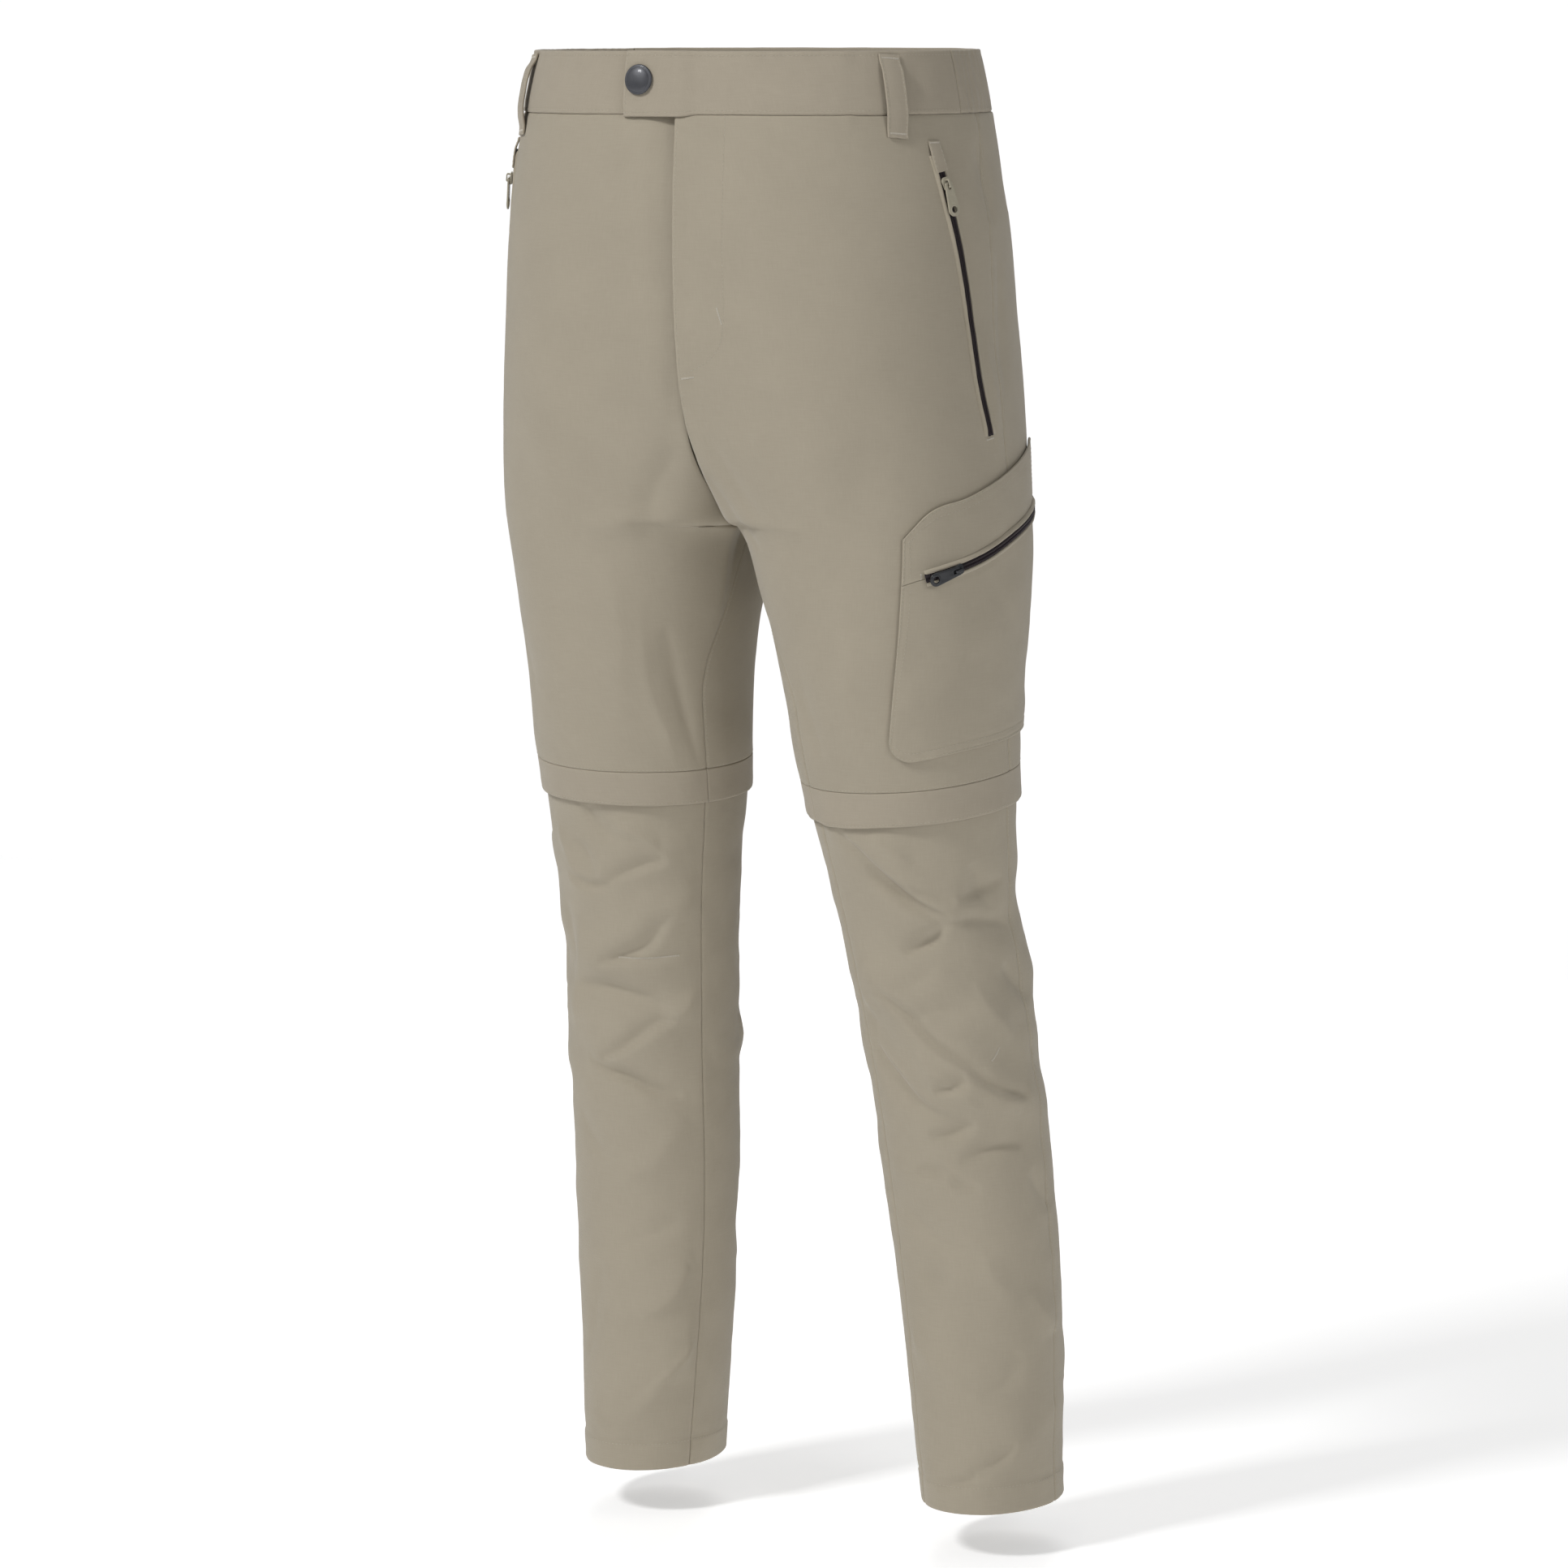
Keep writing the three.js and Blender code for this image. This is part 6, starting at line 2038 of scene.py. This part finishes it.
@dataclass
class Runner:
    """A zip's slider and the pull tab that hangs from its bridge.

    Args:
        leg: which leg.
        name: start of the nodes' names.
        body: the body that the tab moves with.
        at: distance from the side seam and height of the slider.
        towards: the same for the place that the tab points to.
        lift: how far the slider stands off the plain form.
        finish: its material.
        slot: not used.
        width, tail, length: of the slider's plates, at the front, at the back and along.
        plate: height of the upper plate.
        corner: radius of the plates' front corners.
        bridge, window, crown: width, clear height and thickness of the bridge.
        pivot, lean: height and tilt of the tab, in millimetres and degrees.
        pull_thick, pull_top, pull_low: thickness of the tab, and its width at both ends.
        eye: diameter of the tab's hole.
        slot_width, slot_to: width and end of the slot that takes the bridge.
    """

    leg: Leg
    name: str
    body: str
    at: tuple[float, float]
    towards: tuple[float, float]
    lift: float
    finish: bpy.types.Material
    slot: Slot
    width: float = 7.6
    tail: float = 5.4
    length: float = 9.0
    plate: float = 1.6
    corner: float = 2.4
    bridge: float = 1.9
    window: float = 2.4
    crown: float = 0.8
    pivot: float = 2.8
    lean: float = 3.0
    pull_thick: float = 1.2
    pull_top: float = 6.4
    pull_low: float = 9.6
    eye: float = 4.6
    slot_width: float = 2.5
    slot_to: float = 4.4

    def _spot(self, place: tuple[float, float]) -> tuple[Vector, Vector]:
        """Point on the form with its large folds, and the direction out."""
        around, z = (np.array([v]) for v in place)
        turn = FORM.turn(around, z)
        x, y = FORM.outline(turn, z)
        out = FORM.normal(turn, z)[0]
        point = np.array([x[0], y[0], z[0]]) + out * folds_height(self.leg, around, z)[0]
        sign = (self.leg.mirror, 1, 1)
        return Vector(point * sign), Vector(out * sign)

    def frame(self) -> Matrix:
        """Where the slider sits: along +Y towards the tab's tip, out along +Z."""
        here, out = self._spot(self.at)
        there, _ = self._spot(self.towards)
        along = there - here
        along = (along - out * along.dot(out)).normalized()
        across = along.cross(out)
        turn = Matrix((across, along, out)).transposed().to_4x4()
        return Matrix.Translation(here + out * self.lift) @ turn

    def _slider(self) -> bpy.types.Object:
        """Makes the slider: two plates, their throat between them, and the bridge."""
        w, l, k, t = self.width / 2, self.length / 2, self.corner, self.tail / 2
        outline = arc(-w + k, -l + k, k, 180, 270, 8) + arc(w - k, -l + k, k, 270, 360, 8)
        outline += arc(t - 0.8, l - 0.8, 0.8, 0, 90, 4) + arc(-t + 0.8, l - 0.8, 0.8, 90, 180, 4)
        name = f"{self.name}_slider_{self.leg.name}"
        top = curve_plate(name + "_plate", [outline], 0.85, 0.3, self.finish)
        smaller = [(x * 0.9, y * 0.94) for x, y in outline]
        low = curve_plate(name + "_base", [smaller], 0.9, 0.2, self.finish)
        reach, inside = 3.2, 2.0
        under, over = self.plate + self.window, self.plate + self.window + self.crown
        side = [(-reach, 0.6), (-inside, 0.6)]
        side += arc(-inside + 0.7, under - 0.7, 0.7, 180, 90, 5)
        side += arc(inside - 0.7, under - 0.7, 0.7, 90, 0, 5)
        side += [(inside, 0.6), (reach, 0.6)]
        side += arc(reach - 1.5, over - 1.5, 1.5, 0, 90, 7) + arc(-reach + 1.5, over - 1.5, 1.5, 90, 180, 7)
        bridge = curve_plate(name + "_bridge", [side], self.bridge, 0.35, self.finish)
        stand = Matrix.Rotation(QUARTER, 4, "Z") @ Matrix.Rotation(QUARTER, 4, "X")
        place = self.frame()
        turns = [
            place @ Matrix.Translation((0, 0, self.plate - 0.42)),
            place @ Matrix.Translation((0, 0, 0.45)),
            place @ stand,
        ]
        return join(name + "_metal", [top, low, bridge], turns)

    def _pull(self) -> bpy.types.Object:
        """Makes the pull tab, with its slot, its eye and a raised rim."""
        half, tip, end = self.pull_thick / 2, PULL_LENGTH - self.pull_low / 2, self.pull_low / 2
        outline = [(-self.pull_top / 2, -half), (self.pull_top / 2, -half)]
        outline += arc(0, tip, end, -4, 184, 26)
        gap, radius = self.slot_width / 2, 0.6
        slot = arc(-gap + radius, half + radius, radius, 180, 270, 4)
        slot += arc(gap - radius, half + radius, radius, 270, 360, 4)
        slot += arc(gap - radius, self.slot_to - radius, radius, 0, 90, 4)
        slot += arc(-gap + radius, self.slot_to - radius, radius, 90, 180, 4)
        eye = arc(0, tip, self.eye / 2, 0, 345, 23)
        name = f"{self.name}_pull_{self.leg.name}"
        loops = [outline, slot[::-1], eye[::-1]]
        plate = curve_plate(name + "_plate", loops, self.pull_thick, 0.32, self.finish)
        inner = arc(0, tip, self.eye / 2 + 0.1, 0, 345, 23)
        ring = arc(0, tip, self.eye / 2 + 1.2, 0, 345, 23)
        rim = curve_plate(name + "_rim", [ring, inner[::-1]], self.pull_thick + 0.5, 0.24, self.finish)
        lean = Matrix.Rotation(-math.radians(self.lean), 4, "X")
        place = self.frame() @ Matrix.Translation((0, 0, self.pivot)) @ lean
        return join(name + "_metal", [plate, rim], [place, place])

    def build(self) -> list[bpy.types.Object]:
        """Makes the slider and the tab."""
        slider = settle(self._slider(), [f"{self.name}_slider_{self.leg.name}"])
        pull = settle(self._pull(), [f"{self.name}_pull_{self.leg.name}"], self.body)
        return [slider, pull]


@dataclass
class ZipRun:
    """A zip between two folded lips of cloth: tape, two rows of teeth and the lips.

    Args:
        room: finishes and stitches.
        leg: which leg.
        name: hand or pocket.
        around: distances of the line's points from the side seam.
        z: their heights.
        base: lift of the cloth that it lies on.
    """

    room: Workroom
    leg: Leg
    name: str
    around: np.ndarray
    z: np.ndarray
    base: float

    def _lip(self, side: int) -> Patch:
        """One folded lip beside the teeth."""
        offsets = np.array((2.7, 2.95, 3.4, 4.0, 4.6, 5.2, 5.8))
        lifts = np.array((1.0, 1.5, 1.72, 1.68, 1.3, 0.75, 0.3)) + self.base
        run = np.concatenate([[0], np.cumsum(np.hypot(np.diff(self.around), np.diff(self.z)))])
        ends = smooth(edge_distance(run) / 5)[:, None]
        wave = 0.16 * EDGES.noise(run / 7, run * 0 + 3 * side)[:, None]
        grid = self.base + 0.3 + (lifts - self.base - 0.3) * (0.45 + 0.55 * ends) + wave
        if side < 0:
            offsets, grid = -offsets[::-1], grid[:, ::-1]
        return ribbon(self.leg, self.around, self.z, offsets, grid, 0.8)

    def build(self, finish: bpy.types.Material, slot: Slot) -> list[bpy.types.Object]:
        """Makes the tape, teeth, lips, slider and tab."""
        finishes, side = self.room.finishes, self.leg.name
        offsets = np.array((-3.4, -2.6, -1.9, -1.2, -0.6, 0, 0.6, 1.2, 1.9, 2.6, 3.4))
        tape = ribbon(self.leg, self.around, self.z, offsets, self.base + ZIP_LIFT + 0.35 + 0 * offsets, 0.3)
        prefix = "hand_zip" if self.name == "hand" else "pocket_zip"
        name = f"{prefix}_{side}"
        made = [settle(cloth_object(name + "_tape", [tape], finishes.tape), [name])]
        rows = np.arange(len(self.z), dtype=float)
        teeth = [tape.line(rows, 5 + 2.05 * hand + 0 * rows, 0.42) for hand in (-1, 1)]
        coil = self.room.rows.rows(name + "_teeth", teeth, TEETH, finishes.coil)
        made.append(settle(coil, []))
        lips = cloth_object(name + "_lips", [self._lip(-1), self._lip(1)], finishes.cloth)
        made.append(settle(lips, []))
        lift = self.base + ZIP_LIFT + ZIP_DEPTH + SOLID_SEAM
        if self.name == "hand":
            at = (float(HAND_ZIP(HAND_SLIDER_Z)), HAND_SLIDER_Z)
            low = HAND_SLIDER_Z - PULL_LENGTH
            towards = (float(HAND_ZIP(low)), low)
        else:
            at = (POCKET_SLIDER_AROUND, float(POCKET_ZIP(POCKET_SLIDER_AROUND)))
            front = POCKET_SLIDER_AROUND - PULL_LENGTH
            towards = (front, float(POCKET_ZIP(front)) - 1)
        runner = Runner(self.leg, prefix, f"{self.name}_pull_{side}", at, towards, lift, finish, slot)
        return made + runner.build()


@dataclass
class HandPocket:
    """A hand pocket's zip with the folded cover over its top end.

    Args:
        room: finishes and stitches.
        leg: which leg.
        cover_top: where the end cover starts.
        cover_low: where it ends.
        cover_half: half its width.
    """

    room: Workroom
    leg: Leg
    cover_top: float = -61.0
    cover_low: float = -82.0
    cover_half: float = 5.0

    def build(self) -> list[bpy.types.Object]:
        """Makes the zip, its lips and the end cover."""
        z = np.linspace(HAND_ZIP_TOP, HAND_ZIP_LOW, 97)
        zip_run = ZipRun(self.room, self.leg, "hand", HAND_ZIP(z), z, 0.0)
        made = zip_run.build(self.room.finishes.tan, Slot.TAN)
        z = self.cover_top - edge_spaced(np.array(self.cover_top - self.cover_low), 1.2)
        offsets = edge_spaced(np.array(2 * self.cover_half), 1.3) - self.cover_half
        rise = smooth((self.cover_top - z) / 9)[:, None]
        roll = 0.3 * (offsets / self.cover_half)[None, :] ** 2
        lifts = mix(1.3, ZIP_LIFT + ZIP_DEPTH + SOLID_SEAM + 1.0, rise) - roll
        cover = ribbon(self.leg, HAND_ZIP(z), z, offsets, lifts, 1.0)
        name = f"hand_zip_end_{self.leg.name}"
        piece = cloth_object(name + "_cloth", [cover], self.room.finishes.band)
        made.append(settle(piece, [name]))
        bars = [cover.beside(Rim.TOP, 1.6, 1.2)]
        made.append(self.room.tack(name + "_tack", bars, Slot.BAND))
        rows = [cover.beside(rim, 1.3, 1.5) for rim in (Rim.FIRST, Rim.LAST)]
        made.append(self.room.sew(name + "_topstitch", rows, Slot.BAND))
        return made


# The button's outline from its foot to near its top: share of its radius, then height
BUTTON_PROFILE = (
    (0.8, 0.0),
    (0.9, 0.12),
    (0.965, 0.5),
    (0.995, 0.95),
    (1.0, 1.35),
    (0.99, 1.75),
    (0.965, 2.1),
    (0.93, 2.34),
    (0.885, 2.42),
    (0.855, 2.36),
    (0.83, 2.42),
    (0.79, 2.7),
    (0.72, 3.05),
    (0.62, 3.42),
    (0.5, 3.74),
    (0.36, 3.98),
    (0.2, 4.14),
)


@dataclass
class Fly:
    """The strip behind the fly's overlap, and the button on the waistband's tab.

    Args:
        room: finishes and stitches.
        top: where the strip starts.
        low: where it ends.
        from_x: its edge on the right side, as a distance from the middle.
        to_x: its edge on the left side.
        lift: how far it lies inside the front.
        button_x: how far the button is from the middle, on the right side.
        button_z: its height.
        radius: of the button.
        height: of the button.
    """

    room: Workroom
    top: float = -46.0
    low: float = -215.0
    from_x: float = -10.0
    to_x: float = 36.0
    lift: float = -6.8
    button_x: float = 27.0
    button_z: float = -20.0
    radius: float = 10.4
    height: float = 4.2

    def _shield(self) -> Patch:
        """Works out the strip."""
        z = self.top - edge_spaced(np.array(self.top - self.low), PITCH)[:, None]
        x = self.from_x + edge_spaced(np.array(self.to_x - self.from_x), PITCH)[None, :]
        edge = np.minimum(edge_distance(x), np.minimum(self.top - z, z - self.low))
        x, z = np.broadcast_arrays(x, z)
        turn = turn_at_x(np.abs(x), z)
        return wall(LEFT, turn, z, self.lift, CLOTH, edge, np.where(x < 0, -1.0, 1.0))

    def _button(self) -> bpy.types.Object:
        """Turns the domed button on its own axis."""
        r, h = self.radius, self.height
        profile = (*BUTTON_PROFILE, (0.08, h))
        steps = 72
        turns = np.linspace(0, 2 * math.pi, steps, endpoint=False)
        ring = lambda a, y: [(r * a * math.cos(t), r * a * math.sin(t), y) for t in turns]
        rings = np.array([ring(a, y) for a, y in profile])
        points = np.concatenate([[(0, 0, 0)], rings.reshape(-1, 3), [(0, 0, h)]])
        last = len(points) - 1
        faces = [(0, 1 + (k + 1) % steps, 1 + k) for k in range(steps)]
        for i in range(len(rings) - 1):
            a, b = 1 + i * steps, 1 + (i + 1) * steps
            faces += [(a + k, a + (k + 1) % steps, b + (k + 1) % steps, b + k) for k in range(steps)]
        a = 1 + (len(rings) - 1) * steps
        faces += [(a + k, a + (k + 1) % steps, last) for k in range(steps)]
        mesh = bpy.data.meshes.new("waist_button_dome")
        mesh.from_pydata(points, [], faces)
        mesh.materials.append(self.room.finishes.button)
        z = np.array([self.button_z])
        turn = turn_at_x(np.array([self.button_x]), z)
        x, y = FORM.outline(turn, z)
        out = FORM.normal(turn, z)[0] * (-1, 1, 1)
        spot = np.array([-x[0], y[0], z[0]]) + out * (TAB_LIFT + SOLID_SEAM)
        aim = Vector(out).to_track_quat("Z", "Y").to_matrix().to_4x4()
        mesh.transform(Matrix.Scale(MM, 4) @ Matrix.Translation(spot) @ aim)
        mesh.shade_smooth()
        mesh.set_sharp_from_angle(angle=SHARP)
        return in_scene("waist_button_dome", mesh)

    def build(self) -> list[bpy.types.Object]:
        """Makes the strip and the button."""
        cloth = self.room.finishes.cloth
        shield = sheet_of_cloth("fly_shield_cloth", self._shield(), cloth)
        button = settle(self._button(), ["waist_button"])
        return [shield, button]


@dataclass(frozen=True)
class PhotoView:
    """The camera that the photograph's outlines fit, in metres and degrees.

    Args:
        azimuth: how far it stands round to the wearer's left of the front.
        distance: from the waist's axis.
        rise: height above the waistband.
        aside: how far it stands to its own right.
        pitch: how far it looks down.
        roll: turn about its line of sight.
        lens: focal length in millimetres on a 36 mm sensor.
    """

    azimuth: float = 27.25
    distance: float = 3.959
    rise: float = 0.039
    aside: float = 0.01785
    pitch: float = 7.99
    roll: float = -0.22
    lens: float = 129.5

    def place(self) -> bpy.types.Object:
        """Sets the camera up."""
        a, p, r = (math.radians(v) for v in (self.azimuth, self.pitch, self.roll))
        right = Vector((math.cos(a), math.sin(a), 0))
        eye = Vector((math.sin(a), -math.cos(a), 0)) * self.distance + right * self.aside
        eye.z = self.rise
        ahead = Vector((-math.sin(a) * math.cos(p), math.cos(a) * math.cos(p), -math.sin(p)))
        down = ahead.cross(right)
        x = right * math.cos(r) - down * math.sin(r)
        y = -(right * math.sin(r) + down * math.cos(r))
        data = bpy.data.cameras.new("photo_camera")
        data.lens, data.sensor_width = self.lens, 36.0
        camera = in_scene("photo_camera", data)
        turn = Matrix((x, y, -ahead)).transposed()
        camera.matrix_world = Matrix.Translation(eye) @ turn.to_4x4()
        bpy.context.scene.camera = camera
        return camera


@dataclass(frozen=True)
class SoftBox:
    """One large area light that looks at the garment."""

    name: str
    place: tuple[float, float, float]
    size: float
    power: float

    def light(self) -> bpy.types.Object:
        """Hangs the light."""
        data = bpy.data.lights.new(self.name, "AREA")
        data.size, data.energy = self.size, self.power
        lamp = in_scene(self.name, data)
        aim = Vector((0, 0, -0.55)) - Vector(self.place)
        turn = aim.to_track_quat("-Z", "Y").to_matrix().to_4x4()
        lamp.matrix_world = Matrix.Translation(self.place) @ turn
        return lamp


SOFT_BOXES = (
    SoftBox("key_light", (-1.3, -2.75, 2.3), 0.7, 102),
    SoftBox("side_light", (3.3, -1.5, 0.9), 1.2, 30),
    SoftBox("back_light", (-1.4, 3.4, 1.8), 2.0, 56),
)
FLOOR_Z = -1.075
FLOOR_SIZE = 5.0


def build_floor() -> bpy.types.Object:
    """Lays the pale floor a little below the hems."""
    half = FLOOR_SIZE / 2
    mesh = bpy.data.meshes.new("studio_floor")
    corners = [(x * half, y * half, FLOOR_Z) for x, y in ((-1, -1), (1, -1), (1, 1), (-1, 1))]
    mesh.from_pydata(corners, [], [(0, 1, 2, 3)])
    mesh.materials.append(StudioFloor("pale_floor", (0.88, 0.88, 0.88)).material())
    floor = in_scene("studio_floor", mesh)
    return floor


FRONT_GLOW, BACK_GLOW = 0.24, 1.02
WHITE_FROM, WHITE_TO = 0.93, 0.98


def white_surround() -> bpy.types.World:
    """White behind the garment as the photograph sees it, and dimmer on the camera's side."""
    world = bpy.data.worlds.new("studio")
    world.use_nodes = True
    tree = world.node_tree
    place = tree.nodes.new("ShaderNodeTexCoord")
    ahead = tree.nodes.new("ShaderNodeVectorMath")
    ahead.operation = "DOT_PRODUCT"
    turn = math.radians(PhotoView.azimuth)
    ahead.inputs[1].default_value = (-math.sin(turn), math.cos(turn), 0.0)
    tree.links.new(place.outputs["Generated"], ahead.inputs[0])
    span = tree.nodes.new("ShaderNodeMapRange")
    span.interpolation_type = "SMOOTHSTEP"
    reach = {"From Min": WHITE_FROM, "From Max": WHITE_TO, "To Min": FRONT_GLOW, "To Max": BACK_GLOW}
    for key, value in reach.items():
        span.inputs[key].default_value = value
    tree.links.new(ahead.outputs["Value"], span.inputs["Value"])
    shader = tree.nodes["Background"]
    shader.inputs["Color"].default_value = (1.0, 1.0, 1.0, 1.0)
    tree.links.new(span.outputs["Result"], shader.inputs["Strength"])
    return world


def build_studio() -> None:
    """Sets up the camera, the soft light and the floor."""
    scene = bpy.context.scene
    scene.view_settings.view_transform = "Standard"
    scene.world = white_surround()
    PhotoView().place()
    for box in SOFT_BOXES:
        box.light()
    build_floor()


def build_garment() -> list[bpy.types.Object]:
    """Makes every piece of the trousers."""
    room = Workroom(make_finishes(), RowTree())
    made = []
    for leg in LEGS:
        made += UpperLeg(leg, room).build()
        made += LowerLeg(leg, room).build()
        made += HandPocket(room, leg).build()
    made += Waistband(room).build()
    made += BeltLoops(room).build()
    made += ThighPocket(room).build()
    made += Fly(room).build()
    return made


def main() -> None:
    """Builds the garment and its studio."""
    for piece in build_garment():
        log.info("%s: %d points", piece.name, len(piece.data.vertices))
    build_studio()


if __name__ == "__main__":
    main()
